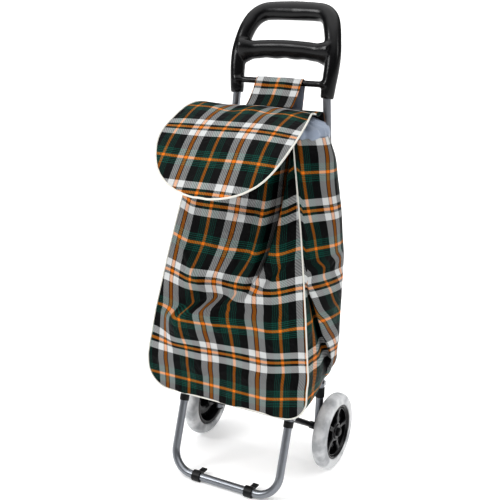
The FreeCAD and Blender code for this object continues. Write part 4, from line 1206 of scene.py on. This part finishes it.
stage, stage_tree, stage_shader = material(
    "pale_matt_studio_paper",
    Roughness=0.95,
    **{"Emission Color": colour("#ffffff"), "Emission Strength": 0.18, "Specular IOR Level": 0.1},
)
stage_noise = add(
    stage_tree,
    "ShaderNodeTexNoise",
    {},
    {"Vector": add(stage_tree, "ShaderNodeTexCoord").outputs["Object"], "Scale": 3.0},
)
stage_mix = add(
    stage_tree,
    "ShaderNodeMix",
    {"data_type": "RGBA"},
    {"Factor": stage_noise.outputs[0], "A": colour("#f7f7f7"), "B": colour("#fbfbfb")},
)
wire(stage_tree, stage_shader, Base_Color=mixed_colour(stage_mix))
paper_mesh = bpy.data.meshes.new("studio_floor")
paper_corners = [(x * PAPER, y * PAPER, 0) for x, y in ((-1, -1), (1, -1), (1, 1), (-1, 1))]
paper_mesh.from_pydata(paper_corners, [], [(0, 1, 2, 3)])
new_object("studio_floor", paper_mesh, [stage])

bpy.context.scene.view_settings.view_transform = "Standard"
bpy.context.scene.view_settings.look = "Medium High Contrast"
world = bpy.data.worlds.new("studio")
bpy.context.scene.world = world
world.use_nodes = True
sky = world.node_tree
sky.nodes.clear()
aim = add(sky, "ShaderNodeTexCoord").outputs["Generated"]
upward = add(sky, "ShaderNodeSeparateXYZ", {}, {0: aim})
glow = add(
    sky,
    "ShaderNodeMapRange",
    {"interpolation_type": "SMOOTHSTEP"},
    {0: upward.outputs[2], 1: 0.35, 2: 0.9, 3: HORIZON_GLOW, 4: OVERHEAD_GLOW},
)
white = colour("#ffffff")
air = add(sky, "ShaderNodeBackground", {}, {"Color": white, "Strength": glow.outputs[0]})
backdrop = add(sky, "ShaderNodeBackground", {}, {"Color": white, "Strength": 1.0})
seen = add(sky, "ShaderNodeLightPath").outputs["Is Camera Ray"]
shown = add(sky, "ShaderNodeMixShader", {}, {0: seen, 1: air.outputs[0], 2: backdrop.outputs[0]})
add(sky, "ShaderNodeOutputWorld", {}, {"Surface": shown.outputs[0]})


def lamp(name, power, size, place, target):
    """A square softbox at a place, aimed at a target."""
    light = bpy.data.lights.new(name, "AREA")
    light.energy, light.shape, light.size = power, "SQUARE", size
    holder = bpy.data.objects.new(name, light)
    bpy.context.scene.collection.objects.link(holder)
    holder.location = place
    holder.rotation_euler = (Vector(target) - Vector(place)).to_track_quat("-Z", "Y").to_euler()


lamp("key_softbox", 27, 0.9, (-1.7, -2.0, 2.0), (0, 0, 0.45))
lamp("rim_softbox", 3.5, 0.6, (2.1, 0.3, 1.6), (0, 0, 0.6))

lens = bpy.data.cameras.new("camera")
lens.lens, lens.sensor_width = LENS, SENSOR
camera = bpy.data.objects.new("camera", lens)
bpy.context.scene.collection.objects.link(camera)
camera.location = CAMERA_PLACE
camera.rotation_euler = Euler((math.radians(90 - CAMERA_DOWN), 0, math.radians(CAMERA_TURN)))
bpy.context.scene.camera = camera
